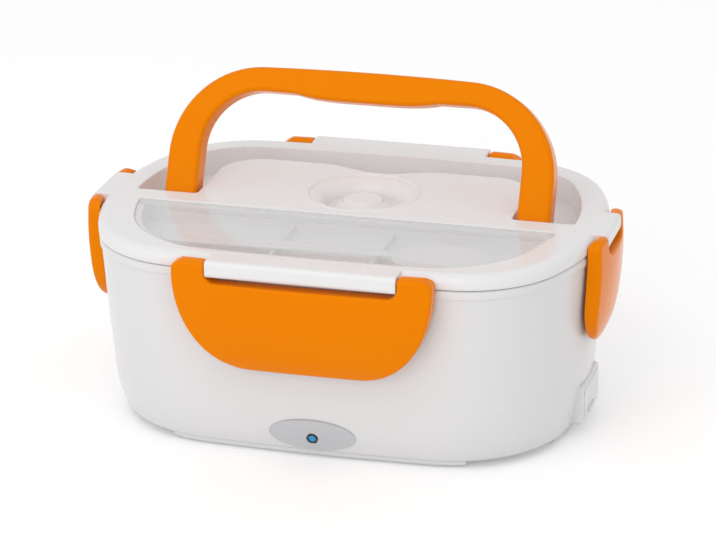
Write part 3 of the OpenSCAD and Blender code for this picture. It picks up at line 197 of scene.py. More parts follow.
def add(tree, kind, **values):
    """Adds a shader node, links or sets its named inputs, and returns its outputs."""
    node = tree.nodes.new("ShaderNode" + kind)
    for name, value in values.items():
        socket = node.inputs[name.replace("_", " ")]
        if isinstance(value, bpy.types.NodeSocket):
            tree.links.new(value, socket)
        else:
            socket.default_value = value
    return node.outputs


def noise(tree, scale, detail=3, stretch=None):
    """Noise in object space, optionally stretched along an axis."""
    where = add(tree, "TexCoord")["Object"]
    if stretch:
        where = add(tree, "Mapping", Vector=where, Scale=stretch)["Vector"]
    return add(tree, "TexNoise", Vector=where, Scale=scale, Detail=detail)["Fac"]


def vary_roughness(tree, shader, source, low, high):
    """Lets a texture move the roughness between two values."""
    spread = add(tree, "MapRange", Value=source, From_Min=NOISE_LOW, From_Max=NOISE_HIGH,
                 To_Min=low, To_Max=high)
    tree.links.new(spread["Result"], shader.inputs["Roughness"])


def tint(tree, shader, source, first, second):
    """Blends the base colour between two near colours by a texture."""
    mix = tree.nodes.new("ShaderNodeMix")
    mix.data_type = "RGBA"
    mix.inputs["A"].default_value = (*first, 1)
    mix.inputs["B"].default_value = (*second, 1)
    tree.links.new(source, mix.inputs["Factor"])
    tree.links.new(mix.outputs["Result"], shader.inputs["Base Color"])


def bump(tree, shader, source, strength, distance):
    bumped = add(tree, "Bump", Height=source, Strength=strength, Distance=distance)
    tree.links.new(bumped["Normal"], shader.inputs["Normal"])


def moulded_plastic(name, colour, second, roughness, gloss=0.5, sheen=(1, 1, 1)):
    """Injection-moulded gloss plastic: faint flow marks and a fine surface ripple."""
    material, tree, shader = principled(name, colour, roughness, Specular_IOR_Level=gloss,
                                        Specular_Tint=(*sheen, 1))
    tint(tree, shader, noise(tree, FLOW_MARKS, 2), colour, second)
    vary_roughness(tree, shader, noise(tree, POLISH_PATCHES), roughness * 0.8, roughness * 1.25)
    bump(tree, shader, noise(tree, MOULD_RIPPLE, 2), 0.06, 0.0004)
    return material


def metal(name, colour, roughness, stretch=None, strength=0.15):
    material, tree, shader = principled(name, colour, roughness, Metallic=1.0)
    grain = noise(tree, METAL_GRAIN, 4, stretch)
    vary_roughness(tree, shader, grain, roughness * 0.75, roughness * 1.35)
    bump(tree, shader, grain, strength, 0.0002)
    return material


def soft_rubber(name, colour, second, roughness):
    material, tree, shader = principled(name, colour, roughness, IOR=1.45)
    tint(tree, shader, noise(tree, RUBBER_TONE), colour, second)
    vary_roughness(tree, shader, noise(tree, RUBBER_WEAR), roughness * 0.85,
                   min(1, roughness * 1.15))
    bump(tree, shader, noise(tree, RUBBER_GRAIN, 2), 0.2, 0.0003)
    return material


def clear_plastic(name):
    material, tree, shader = principled(name, (0.97, 0.975, 0.98), 0.05, Alpha=0.3,
                                        Specular_IOR_Level=1.0)
    vary_roughness(tree, shader, noise(tree, SHEET_POLISH), 0.02, 0.07)
    bump(tree, shader, noise(tree, SHEET_WAVES, 1), 0.02, 0.0005)
    return material


def make_materials():
    finishes = {
        "white_shell": (moulded_plastic, (0.79, 0.785, 0.79), (0.81, 0.805, 0.81), 0.22, 0.4),
        # The lid's white is the shell's plastic made lighter: painted light for the brighter lit
        # top of the lid.
        "white_lid": (moulded_plastic, (0.845, 0.84, 0.845), (0.865, 0.86, 0.865), 0.22, 0.4),
        "orange_plastic": (moulded_plastic, (0.88, 0.225, 0.0), (0.9, 0.24, 0.001), 0.2, 0.24,
                           (1, 0.42, 0.1)),
        "clear_plastic": (clear_plastic,),
        "clear_silicone": (soft_rubber, (0.72, 0.74, 0.76), (0.76, 0.78, 0.8), 0.5),
        "grey_rubber": (soft_rubber, (0.1, 0.1, 0.11), (0.13, 0.13, 0.14), 0.75),
        "pan_metal": (metal, (0.78, 0.785, 0.79), 0.34),
        "tray_steel": (metal, (0.78, 0.785, 0.79), 0.26, (1, 30, 30), 0.1),
        "heater_case": (metal, (0.6, 0.6, 0.6), 0.42),
        "screw_steel": (metal, (0.62, 0.63, 0.66), 0.25),
        "black_plastic": (soft_rubber, (0.018, 0.018, 0.02), (0.028, 0.028, 0.03), 0.5),
        "fuse_sleeve": (soft_rubber, (0.6, 0.57, 0.44), (0.66, 0.63, 0.5), 0.6),
        "wire_red": (soft_rubber, (0.45, 0.03, 0.02), (0.52, 0.05, 0.03), 0.45),
        "board_green": (soft_rubber, (0.02, 0.15, 0.05), (0.03, 0.2, 0.07), 0.4),
        "lamp_blue": (moulded_plastic, (0.005, 0.3, 0.62), (0.01, 0.36, 0.72), 0.12),
        "panel_silver": (metal, (0.58, 0.59, 0.61), 0.42, (1, 60, 60), 0.08),
        "pin_brass": (metal, (0.72, 0.52, 0.22), 0.25)}
    return {name: make(name, *look) for name, (make, *look) in finishes.items()}


def dress_nodes(materials):
    """Gives each CAD node the material of its slot in the record."""
    for part in frame["record"]["subparts"]:
        node = frame["nodes"][part["node"]]
        node.data.materials.clear()
        node.data.materials.append(materials[part["material_slot"]])


# ---- stage and light ----

FLOOR_HALF, FLOOR_WHITE, FLOOR_LIFT = 8, 0.92, 0.22
WORLD_LIGHT = 0.78

# Lamps, in metres and watts: place, aim, size, power.
LAMPS = {"front_light": ((-0.35, -1.5, 0.75), (0, 0, 0.05), (1.3, 0.9), 4),
         "top_light": ((-0.1, -0.5, 0.8), (0, -0.03, 0.09), (0.55, 0.3), 0.8)}


def seen_rays(tree, strength):
    """A strength for camera, glossy and transmission rays, and none for the light itself."""
    path = tree.nodes.new("ShaderNodeLightPath")
    total = None
    for ray in ("Is Camera Ray", "Is Glossy Ray", "Is Transmission Ray"):
        scaled = tree.nodes.new("ShaderNodeMath")
        scaled.operation = "MULTIPLY_ADD"
        scaled.inputs[1].default_value = strength
        scaled.inputs[2].default_value = 0
        tree.links.new(path.outputs[ray], scaled.inputs[0])
        if total:
            tree.links.new(total, scaled.inputs[2])
        total = scaled.outputs[0]
    return total


def floor_material():
    """White paint that looks a little lighter than it is, and still takes a shadow."""
    material = bpy.data.materials.new("floor_white")
    material.use_nodes = True
    tree = material.node_tree
    tree.nodes.clear()
    paint = add(tree, "BsdfDiffuse", Color=(FLOOR_WHITE, FLOOR_WHITE, FLOOR_WHITE, 1))["BSDF"]
    lift = add(tree, "Emission", Strength=seen_rays(tree, FLOOR_LIFT))["Emission"]
    both = tree.nodes.new("ShaderNodeAddShader")
    tree.links.new(paint, both.inputs[0])
    tree.links.new(lift, both.inputs[1])
    add(tree, "OutputMaterial", Surface=both.outputs[0])
    return material


def make_stage():
    mesh = bpy.data.meshes.new("floor")
    corners = [(FLOOR_HALF * x, FLOOR_HALF * y, 0)
               for x, y in ((-1, -1), (1, -1), (1, 1), (-1, 1))]
    mesh.from_pydata(corners, [], [(0, 1, 2, 3)])
    mesh.materials.append(floor_material())
    floor = bpy.data.objects.new("floor", mesh)
    bpy.context.scene.collection.objects.link(floor)


def make_lights():
    world = bpy.data.worlds.new("studio")
    bpy.context.scene.world = world
    world.use_nodes = True
    sky = world.node_tree.nodes["Background"]
    sky.inputs["Color"].default_value = (1, 1, 1, 1)
    sky.inputs["Strength"].default_value = WORLD_LIGHT
    for name, (place, aim, size, watts) in LAMPS.items():
        data = bpy.data.lights.new(name, "AREA")
        data.shape = "RECTANGLE"
        data.size, data.size_y = size
        data.energy = watts
        lamp = bpy.data.objects.new(name, data)
        bpy.context.scene.collection.objects.link(lamp)
        lamp.location = place
        lamp.rotation_euler = (Vector(aim) - Vector(place)).to_track_quat("-Z", "Y").to_euler()


# ---- plan curves ----

QUARTER_TURN = (0, 22.5, 45, 67.5, 90)


def circle(radius, steps):
    turns = [2 * math.pi * i / steps for i in range(steps)]
    return [(radius * math.cos(t), radius * math.sin(t)) for t in turns]


def turned(profile, place, steps):
    """Rings along a profile of (radius, along), set in place by place(a, b, along)."""
    return [[place(a, b, along) for a, b in circle(radius, steps)] for radius, along in profile]


def arc(centre, radius, start, end, steps):
    """Points of an arc, both ends included."""
    return [(centre[0] + radius * cosine(start + (end - start) * i / steps),
             centre[1] + radius * sine(start + (end - start) * i / steps))
            for i in range(steps + 1)]


def quarter(a, b, r, front_r, side_r, steps=PLAN_STEPS):
    """First quadrant of the plan: an end arc, a corner arc and a side arc, all tangent."""
    low, left = (0, b - front_r), (a - side_r, 0)
    apart = math.dist(low, left)
    ex, ey = (left[0] - low[0]) / apart, (left[1] - low[1]) / apart
    k = ((front_r - r) ** 2 - (side_r - r) ** 2 + apart ** 2) / (2 * apart)
    h = math.sqrt((front_r - r) ** 2 - k * k)
    centre = (low[0] + k * ex + h * ey, low[1] + k * ey - h * ex)
    end = math.degrees(math.atan2(centre[1], centre[0] - left[0]))
    side = math.degrees(math.atan2(centre[1] - low[1], centre[0]))
    return (arc(left, side_r, 0, end, steps[0]) + arc(centre, r, end, side, steps[1])[1:]
            + arc(low, front_r, side, 90, steps[2])[1:])


def outline(a, b, r, front_r, side_r):
    """The whole plan, anticlockwise from +X."""
    q = quarter(a, b, r, front_r, side_r)
    return (q[:-1] + [(-x, y) for x, y in q[:0:-1]] + [(-x, -y) for x, y in q[:-1]]
            + [(x, -y) for x, y in q[:0:-1]])


def lid_sizes(inset):
    return [size - inset for size in (LID_A, LID_B, CORNER_R, FRONT_ARC_R, SIDE_ARC_R)]


def lid_ring(inset):
    return outline(*lid_sizes(inset))


def belly(z):
    """How far the body's foot is drawn in below its belly."""
    if z >= FOOT_Z + BELLY_H:
        return 0
    u = (FOOT_Z + BELLY_H - z) / (BELLY_H + BELLY_FLAT)
    return BELLY_IN * (1 - math.sqrt(1 - u * u))


def body_ring(z, wall=0):
    down = max(FLANGE_Z - z, 0)
    inset = BODY_INSET + belly(z) + wall
    return outline(LID_A - inset - DRAFT_X * down, LID_B - inset - DRAFT_Y * down,
                   CORNER_R - BODY_INSET - wall - belly(z) / 2 + 0.1 * down,
                   FRONT_ARC_R - inset, SIDE_ARC_R - inset)


def cover_plan(inset):
    """The front part of an outline of its own, with a straight back edge."""
    q = quarter(COVER_HALF - inset, -COVER_FRONT_Y - inset, COVER_R - inset,
                FRONT_ARC_R - inset, SIDE_ARC_R - inset)
    y0 = -COVER_BACK_Y + inset
    part = [p for p in q if p[1] > y0 + 1]
    x0 = COVER_HALF - inset - y0 * y0 / (2 * (SIDE_ARC_R - inset))
    return ([(x0, -y0), (-x0, -y0)] + [(-x, -y) for x, y in part]
            + [(x, -y) for x, y in part[-2::-1]])


def island_plan():
    """The island's back: a corner, the finger scoop as one cosine wave, a corner."""
    half, back, r = ISLAND_HALF, ISLAND_BACK_Y, ISLAND_R
    scoop = []
    for i in range(41):
        x = SCOOP_HALF * (1 - i / 20)
        scoop.append((x, back - SCOOP_DEEP * (1 + math.cos(math.pi * x / SCOOP_HALF)) / 2))
    return (arc((half - r, back - r), r, 0, 90, 14) + scoop
            + arc((r - half, back - r), r, 90, 180, 14))


def rounded_rect(width, height, radius, steps=6):
    points = []
    for sx, sy, start in ((1, 1, 0), (-1, 1, 90), (-1, -1, 180), (1, -1, 270)):
        points += arc((sx * (width / 2 - radius), sy * (height / 2 - radius)), radius,
                      start, start + 90, steps)
    return points


def offset(points, distance):
    """An anticlockwise outline moved outwards by a distance, point for point."""
    moved = []
    for before, here, after in zip(points[-1:] + points[:-1], points, points[1:] + points[:1]):
        a = Vector((here[0] - before[0], here[1] - before[1]))
        b = Vector((after[0] - here[0], after[1] - here[1]))
        a = a.normalized() if a.length > 1e-9 else b.normalized()
        b = b.normalized() if b.length > 1e-9 else a
        side, normal = Vector((a.y, -a.x)), Vector((a.y + b.y, -a.x - b.x))
        normal = normal.normalized() if normal.length > 1e-6 else side
        stretch = min(1 / max(normal.dot(side), 0.4), 2)
        moved.append((here[0] + normal.x * distance * stretch,
                      here[1] + normal.y * distance * stretch))
    return moved


def soften(points, distance, turn=30, steps=5, closed=True):
    """Puts a small curve in place of each corner that turns by more than an angle."""
    count = len(points)
    spans = [math.dist(points[i], points[(i + 1) % count]) for i in range(count)]
    at = [sum(spans[:i]) for i in range(count)]
    total = sum(spans)

    def apart(i, j):
        return min(abs(at[i] - at[j]), total - abs(at[i] - at[j]))

    def along(s):
        s = s % total if closed else min(max(s, 0), at[-1])
        i = max(j for j in range(count) if at[j] <= s + 1e-9)
        f = (s - at[i]) / spans[i] if spans[i] > 0 else 0
        p, q = points[i], points[(i + 1) % count]
        return (p[0] + (q[0] - p[0]) * f, p[1] + (q[1] - p[1]) * f)

    corners = []
    for i in range(count):
        if not closed and i in (0, count - 1):
            continue
        a = Vector(points[i]) - Vector(points[i - 1])
        b = Vector(points[(i + 1) % count]) - Vector(points[i])
        if a.length > 0 and b.length > 0 and math.degrees(a.angle(b)) > turn:
            corners.append(i)
    out = []
    for i, p in enumerate(points):
        if i in corners:
            reach = min([distance] + [0.49 * apart(i, c) for c in corners if c != i])
            a, b = along(at[i] - reach), along(at[i] + reach)
            for k in range(steps + 1):
                t = k / steps
                out.append(tuple(a[j] * (1 - t) ** 2 + p[j] * 2 * t * (1 - t) + b[j] * t * t
                                 for j in (0, 1)))
        elif not any(apart(i, c) < distance for c in corners):
            out.append(p)
    return out


def at_height(points, z):
    return [(x, y, z) for x, y in points]


def edge_rings(plan, z, radius, turns=QUARTER_TURN):
    """Rings from a flat top over a rounded edge down into a recess."""
    return [at_height(offset(plan, radius * (1 - sine(t))), z - radius * (1 - cosine(t)))
            for t in turns]


def fillet_rings(plan, z, radius):
    """Rings from a recess's wall, round onto its floor."""
    return [at_height(offset(plan, -radius * (1 - cosine(t))), z + radius * (1 - sine(t)))
            for t in QUARTER_TURN]


# ---- mesh building ----

# Points this close are welded, and edges this short are removed.
WELD, SLIVER = 0.004, 0.001


class Shell:
    """Points and faces of one piece."""

    def __init__(self):
        self.points, self.faces = [], []

    def loop(self, points):
        start = len(self.points)
        self.points.extend(points)
        return list(range(start, len(self.points)))

    def strip(self, first, second):
        for i in range(len(first)):
            j = (i + 1) % len(first)
            self.faces.append((first[i], first[j], second[j], second[i]))

    def loft(self, rings, cap_start=False, cap_end=False):
        ids = [self.loop(ring) for ring in rings]
        for first, second in zip(ids, ids[1:]):
            self.strip(first, second)
        if cap_start:
            self.fill(ids[0])
        if cap_end:
            self.fill(ids[-1])
        return ids

    def solid(self, rings):
        self.loft(rings, cap_start=True, cap_end=True)

    def fill(self, loop, holes=()):
        rings = [loop, *holes]
        flat = [i for ring in rings for i in ring]
        places = [[Vector(self.points[i]) for i in ring] for ring in rings]
        for corner in tessellate_polygon(places):
            self.faces.append(tuple(flat[k] for k in corner))

    def bar(self, profile, place, start, end, edge):
        """A profile of (n, z) carried along an edge, with softened ends."""
        rings = []
        for u, sink in ((start, edge), (start + edge * 0.3, edge * 0.3), (start + edge, 0),
                        (end - edge, 0), (end - edge * 0.3, edge * 0.3), (end, edge)):
            points = offset(profile, -sink) if sink else profile
            rings.append([place(u, n, z) for n, z in points])
        self.solid(rings)


def piece(name, shell, slot, body, nodes=(), material=None, angle=38):
    """Makes the object of a piece, rides it on its body and stands it for its nodes."""
    mesh = bpy.data.meshes.new(name)
    mesh.from_pydata([Vector(p) * MM for p in shell.points], [], shell.faces)
    work = bmesh.new()
    work.from_mesh(mesh)
    bmesh.ops.remove_doubles(work, verts=work.verts, dist=WELD * MM)
    bmesh.ops.dissolve_degenerate(work, edges=work.edges, dist=SLIVER * MM)
    bmesh.ops.recalc_face_normals(work, faces=work.faces)
    work.to_mesh(mesh)
    work.free()
    mesh.shade_smooth()
    mesh.set_sharp_from_angle(angle=math.radians(angle))
    mesh.materials.append(materials[material or slot])
    thing = bpy.data.objects.new(name, mesh)
    bpy.context.scene.collection.objects.link(thing)
    shading = thing.modifiers.new("even_shading", "WEIGHTED_NORMAL")
    shading.keep_sharp = True
    shading.weight = 60
    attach(thing, body)
    if nodes:
        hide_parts(*nodes)


def edge_place(which):
    """Turns (along, outward, z) at one of the lid's edges into (x, y, z)."""
    reach = LID_A if which % 2 else LID_B
    c, s = ((1, 0), (0, 1), (-1, 0), (0, -1))[which]

    def place(u, n, z):
        x, y = u, -reach - n
        return (c * x - s * y, s * x + c * y, z)
    return place


def vessel(name, slot, body, node, fillet, profile, plan=lid_ring, caps=(True, True)):
    """A piece through plan rings, along a softened profile of (z, inset)."""
    shell = Shell()
    soft = soften([(inset, z) for z, inset in profile], fillet, 12, 4, closed=False)
    shell.loft([at_height(plan(inset), z) for inset, z in soft], *caps)
    piece(name, shell, slot, body, [node])


# ---- lid ----

def ring_x(inset, y):
    """Half length of the lid's plan at a y near the middle of its ends."""
    radius = SIDE_ARC_R - inset
    return LID_A - inset - radius + math.sqrt(radius * radius - y * y)


def channel_outline():
    """The handle's channel: along the rim, then back round the island."""
    rear = [p for p in lid_ring(RIM_W) if p[1] > CHANNEL_FRONT_Y + 0.8]
    first = min(range(len(rear)), key=lambda i: rear[i][1] if rear[i][0] > 0 else LID_B)
    rear = rear[first:] + rear[:first]
    x = ring_x(RIM_W, CHANNEL_FRONT_Y)
    island = ([(ISLAND_HALF, CHANNEL_FRONT_Y)] + island_plan()
              + [(-ISLAND_HALF, CHANNEL_FRONT_Y)])
    return soften([(x, CHANNEL_FRONT_Y)] + rear + [(-x, CHANNEL_FRONT_Y)] + island[::-1],
                  CHANNEL_CORNER)


def front_y(ring, x):
    """Front edge of a ring of points at an x."""
    front = sorted(p for p in ring if p[1] < 0)
    for a, b in zip(front, front[1:]):
        if a[0] <= x <= b[0] and b[0] > a[0]:
            return a[1] + (b[1] - a[1]) * (x - a[0]) / (b[0] - a[0])
    return 0


def split_at(points, y):
    """Doubles the points where a recess outline crosses a y, as (x, y, is_behind)."""
    out = []
    for (ax, ay), (bx, by) in zip(points, points[1:] + points[:1]):
        out.append((ax, ay, ay > y))
        if (ay > y) != (by > y):
            x = ax + (bx - ax) * (y - ay) / (by - ay)
            out.append((x, y, ay > y))
            out.append((x, y, by > y))
    return out


def hump_z(radius):
    """Height of the smooth hump in the vent's dish, whose middle is the plug."""
    t = min(max((HUMP_R - radius) / (HUMP_R - HUMP_TOP_R), 0), 1)
    return LID_TOP - DISH_DEEP + (DISH_DEEP - HUMP_DEEP) * t * t * (3 - 2 * t)


def sink_channel(shell):
    """The handle's channel. Returns its top loop."""
    channel = channel_outline()
    rings = (edge_rings(channel, LID_TOP, CHANNEL_EDGE_R)
             + fillet_rings(channel, CHANNEL_FLOOR, CHANNEL_FILLET))
    return shell.loft(rings, cap_end=True)[0]


def vent_place(x, y, z):
    return (x, VENT_Y + y, z)


def sink_vent_dish(shell):
    """The vent's dish: a raised lip, a round wall, the hump, the plug's seat and its bore."""
    lip = [(VENT_R + out, LID_TOP + up)
           for out, up in ((1.25, 0), (1.05, 0.06), (0.85, 0.32), (0.6, 0.47), (0.3, 0.5),
                           (0, 0.42), (-0.25, 0.15), (-0.45, -0.25))]
    wall_r = VENT_R - 0.7
    wall = [(wall_r - (wall_r - DISH_FLOOR_R) * sine(6 * i),
             LID_TOP - DISH_DEEP + (DISH_DEEP - 0.6) * cosine(6 * i)) for i in range(16)]
    edge = PLUG_R + 0.12
    seat_z = LID_TOP - PLUG_SEAT
    hump = [(r, hump_z(r)) for r in (HUMP_R - (HUMP_R - edge - 0.2) * i / 12 for i in range(13))]
    seat = [(edge, hump_z(edge)), (edge, seat_z)]
    bore = [(STEM_R + 0.7, seat_z), (STEM_R + 0.3, seat_z - 0.4), (STEM_R + 0.3, BORE_LOW)]
    return shell.loft(turned(lip + wall + hump + seat + bore, vent_place, VENT_STEPS))[0]


def ledge_heights(points):
    """Points of a split outline, on the cover's ledge in front and in the trough behind."""
    ledge_z = COVER_TOP - COVER_T - 0.1
    return [(x, y, TROUGH_Z if behind else ledge_z) for x, y, behind in points]


def sink_cover_recess(shell):
    """The recess that the clear cover lies in. Returns its outline and its rings."""
    recess = split_at(soften(cover_plan(0), COVER_CORNER), TROUGH_Y)
    plan = [p[:2] for p in recess]
    rings = edge_rings(plan, LID_TOP, RECESS_EDGE_R, (0, 30, 60, 90))
    return recess, shell.loft(rings + [ledge_heights(recess)])


def sink_pocket(shell, recess, recess_low):
    """The spoon's pocket below the cover's recess, and the ledge and trough around it."""
    inner = lid_ring(RIM_W)
    plan = [(x, max(y, front_y(inner, x))) for x, y in cover_plan(COVER_LAP)]
    pocket = split_at(soften(plan, POCKET_CORNER), TROUGH_Y)
    plan = [p[:2] for p in pocket]
    pocket_top = shell.loft([ledge_heights(pocket)]
                            + fillet_rings(plan, POCKET_FLOOR, POCKET_FILLET), cap_end=True)[0]

    fronts = [i for i, p in zip(recess_low, recess) if not p[2]]
    inner_fronts = [i for i, p in zip(pocket_top, pocket) if not p[2]]
    backs = turn_to_right(shell, [i for i, p in zip(recess_low, recess) if p[2]])
    inner_backs = turn_to_right(shell, [i for i, p in zip(pocket_top, pocket) if p[2]])
    shell.fill(fronts + inner_fronts[::-1])
    shell.fill(backs + inner_backs[::-1])
    shell.faces.append((fronts[0], inner_fronts[0], inner_backs[-1], backs[-1]))
    shell.faces.append((fronts[-1], inner_fronts[-1], inner_backs[0], backs[0]))


def turn_to_right(shell, ids):
    """Starts a run of points at its break, on the right-hand side."""
    gaps = [math.dist(shell.points[a][:2], shell.points[b][:2])
            for a, b in zip(ids, ids[1:] + ids[:1])]
    start = (gaps.index(max(gaps)) + 1) % len(ids)
    return ids[start:] + ids[:start]


def add_hinge_bars(shell):
    """The bars at the lid's edges that the latches swing on."""
    low_z, top_z = NOTCH_Z + BAR_OVER_NOTCH, LATCH_Z + BAR_R
    for which, size in enumerate(LATCHES.values()):
        face_n = LATCH_N + BAR_R - size.bar_in
        profile = [(-5.5, LID_TOP - 0.3), (-5, LID_TOP - 3), (-1.9, SKIRT_Z + 0.4), (0.1, low_z)]
        profile += arc((face_n - 2.2, low_z + 2.2), 2.2, -90, 0, 6)
        profile += arc((face_n - 2.0, top_z - 2.0), 2.0, 0, 90, 8)
        profile += [(-2.2, top_z), (-3.6, top_z - 0.12), (-4.6, top_z - 0.3)]
        half = size.notch - 0.3
        shell.bar(profile, edge_place(which), -half, half, 0.5)


def add_spoon_ribs(shell):
    """Two ribs across the pocket's floor, under the spoon."""
    for x in (-SPOON_RIB_X, SPOON_RIB_X):
        low = front_y(lid_ring(RIM_W), x) + 0.2
        corners = ((-1, low), (1, low), (1, SPOON_RIB_BACK_Y), (-1, SPOON_RIB_BACK_Y))
        shell.loft([[(x + side * half, y, POCKET_FLOOR + up) for side, y in corners]
                    for half, up in ((0.8, -0.4), (0.8, 2.9), (0.65, 3.25), (0.3, 3.4))],
                   cap_end=True)


def make_lid():
    shell = Shell()
    skirt = [(LID_UNDER, 9.5), (LID_UNDER, 2.3), (LID_UNDER - 0.3, 2.0), (SKIRT_Z + 0.4, 2.0),
             (SKIRT_Z, 1.6), (SKIRT_Z, 1.2), (SKIRT_Z + 0.12, 0.75), (SKIRT_Z + 0.45, 0.33),
             (SKIRT_Z + 1.0, 0.08), (SKIRT_Z + 1.5, 0)]
    rim = [(LID_TOP - RIM_ROUND_H * (1 - sine(t)), RIM_ROUND_W * (1 - cosine(t)))
           for t in range(0, 91, 9)]
    rim_top = shell.loft([at_height(lid_ring(inset), z) for z, inset in skirt + rim])[-1]
    channel_top = sink_channel(shell)
    dish_top = sink_vent_dish(shell)
    recess, recess_ids = sink_cover_recess(shell)
    shell.fill(rim_top, [channel_top, dish_top, recess_ids[0]])
    sink_pocket(shell, recess, recess_ids[-1])
    add_hinge_bars(shell)
    add_spoon_ribs(shell)
    # The lid takes the lighter white, painted light for its brightly lit top.
    piece("lid_top_shell", shell, "white_shell", "lid", ["lid_shell"], material="white_lid")


def make_lid_inside():
    vessel("lid_inner_cover", "white_shell", "lid", "lid_inner", 0.5,
           [(77.8, 13.4), (77.8, 12.0), (78.5, 10.5), (80.2, 9.75), (90.3, 9.75), (90.4, 4.2),
            (LID_UNDER, 4.2), (LID_UNDER, 9.0)], caps=(True, False))
    vessel("lid_seal_ring", "clear_silicone", "lid", "lid_seal", 0.35,
           [(90.4, 5.6), (88.9, 5.6), (88.1, 6.3), (88.1, 7.7), (88.9, 8.4), (90.4, 8.4)],
           caps=(False, False))


def make_plug():
    shell = Shell()
    seat_z = LID_TOP - PLUG_SEAT + 0.05
    barb = [(0.01, PLUG_LOW - 1.2), (STEM_R - 0.6, PLUG_LOW - 1.2),
            (STEM_R + 1.6, PLUG_LOW - 0.4), (STEM_R + 1.6, PLUG_LOW), (STEM_R, PLUG_LOW)]
    side = [(STEM_R, seat_z), (PLUG_R - 0.3, seat_z), (PLUG_R, seat_z + 0.25),
            (PLUG_R, hump_z(PLUG_R) - 0.08), (PLUG_R - 0.1, hump_z(PLUG_R - 0.1))]
    crown = [(r, hump_z(r)) for r in (8.6, 8.2, 7.8, 7.4, 7.0, 6.6, 6.0)]
    crown += [(4, hump_z(0) - 0.05), (0.01, hump_z(0) - 0.08)]
    shell.solid(turned(barb + side + crown, vent_place, VENT_STEPS))
    # The plug takes the same lighter white, painted light as on the lid's top.
    piece("vent_plug_cap", shell, "white_shell", "plug", ["vent_plug"], material="white_lid")


def make_cover():
    hinge_y, hinge_z = COVER_HINGE
    shell = Shell()
    plan = soften([(x, min(y, hinge_y)) for x, y in cover_plan(COVER_GAP)], COVER_CORNER)
    low = COVER_TOP - COVER_T
    shell.solid([at_height(offset(plan, -inset), z)
                 for inset, z in ((0.35, low), (0, low + 0.3), (0, COVER_TOP - 0.45),
                                  (0.13, COVER_TOP - 0.13), (0.45, COVER_TOP))])
    piece("spoon_cover_sheet", shell, "clear_plastic", "cover", ["spoon_cover"])

    shell = Shell()
    half = [(BARREL_PIN_R - 0.3, BARREL_PIN_HALF), (BARREL_PIN_R, BARREL_PIN_HALF - 0.2),
            (BARREL_PIN_R, BARREL_HALF), (BARREL_R - 0.3, BARREL_HALF),
            (BARREL_R, BARREL_HALF - 0.3)]
    shell.solid(turned([(r, -x) for r, x in half] + half[::-1],
                       lambda a, b, x: (x, hinge_y + a, hinge_z + b), 24))
    piece("spoon_cover_barrel", shell, "clear_plastic", "cover")


def spoon_half(s):
    """Half width of the spoon at a distance from its tip."""
    if s < NECK_AT:
        reach = ((s - SPOON_BOWL_MID) / SPOON_BOWL_MID) ** 2
        bowl = SPOON_BOWL_HALF * math.sqrt(max(1 - reach, 0))
        return max(bowl, NECK_HALF if s > SPOON_BOWL_MID else 0.1)
    t = min((s - NECK_AT) / (SPOON_LEN - NECK_AT) * 1.1, 1)
    half = NECK_HALF + (TAIL_HALF - NECK_HALF) * t * t * (3 - 2 * t)
    if s > SPOON_LEN - TAIL_R:
        end = max(1 - ((s - SPOON_LEN + TAIL_R) / TAIL_R) ** 2, 0.001)
        half = min(half, math.sqrt(end) * TAIL_HALF)
    return half


def spoon_sink(s, y):
    """How deep the spoon's bowl is at a place: its hollow stays 1 mm inside its edge."""
    half_length, half_width = SPOON_BOWL_MID - 1, SPOON_BOWL_HALF - 1
    if s >= SPOON_BOWL_MID + half_length:
        return 0
    reach = ((s - SPOON_BOWL_MID) / half_length) ** 2 + (y / half_width) ** 2
    return SPOON_BOWL_DEEP * max(1 - reach, 0) ** 0.9


def make_spoon():
    """A dished bowl that narrows into a neck, and a handle that widens to its end."""
    shell = Shell()
    base, top_z = POCKET_FLOOR + SPOON_RISE, POCKET_FLOOR + SPOON_RISE + SPOON_T
    across, lengths = 14, 90
    rings = []
    for i in range(lengths + 1):
        s = 0.25 + (SPOON_LEN - 0.3) * i / lengths
        half = spoon_half(s)
        top, under = [], []
        for k in range(across + 1):
            v = -1 + 2 * k / across
            sink = spoon_sink(s, v * half)
            groove = 0.35 * max(1 - (v * 1.6) ** 2, 0) if 62 < s < SPOON_LEN - 9 else 0
            edge = 0.45 * abs(v) ** 6
            x, y = SPOON_TIP_X - s, SPOON_Y + v * half
            top.append((x, y, top_z - sink - groove - edge))
            under.append((x, y, base + 0.1 - sink + edge))
        rings.append(top + under[::-1])
    shell.solid(rings)
    piece("spoon_body", shell, "white_shell", "spoon", ["spoon"], angle=60)


# ---- base unit ----

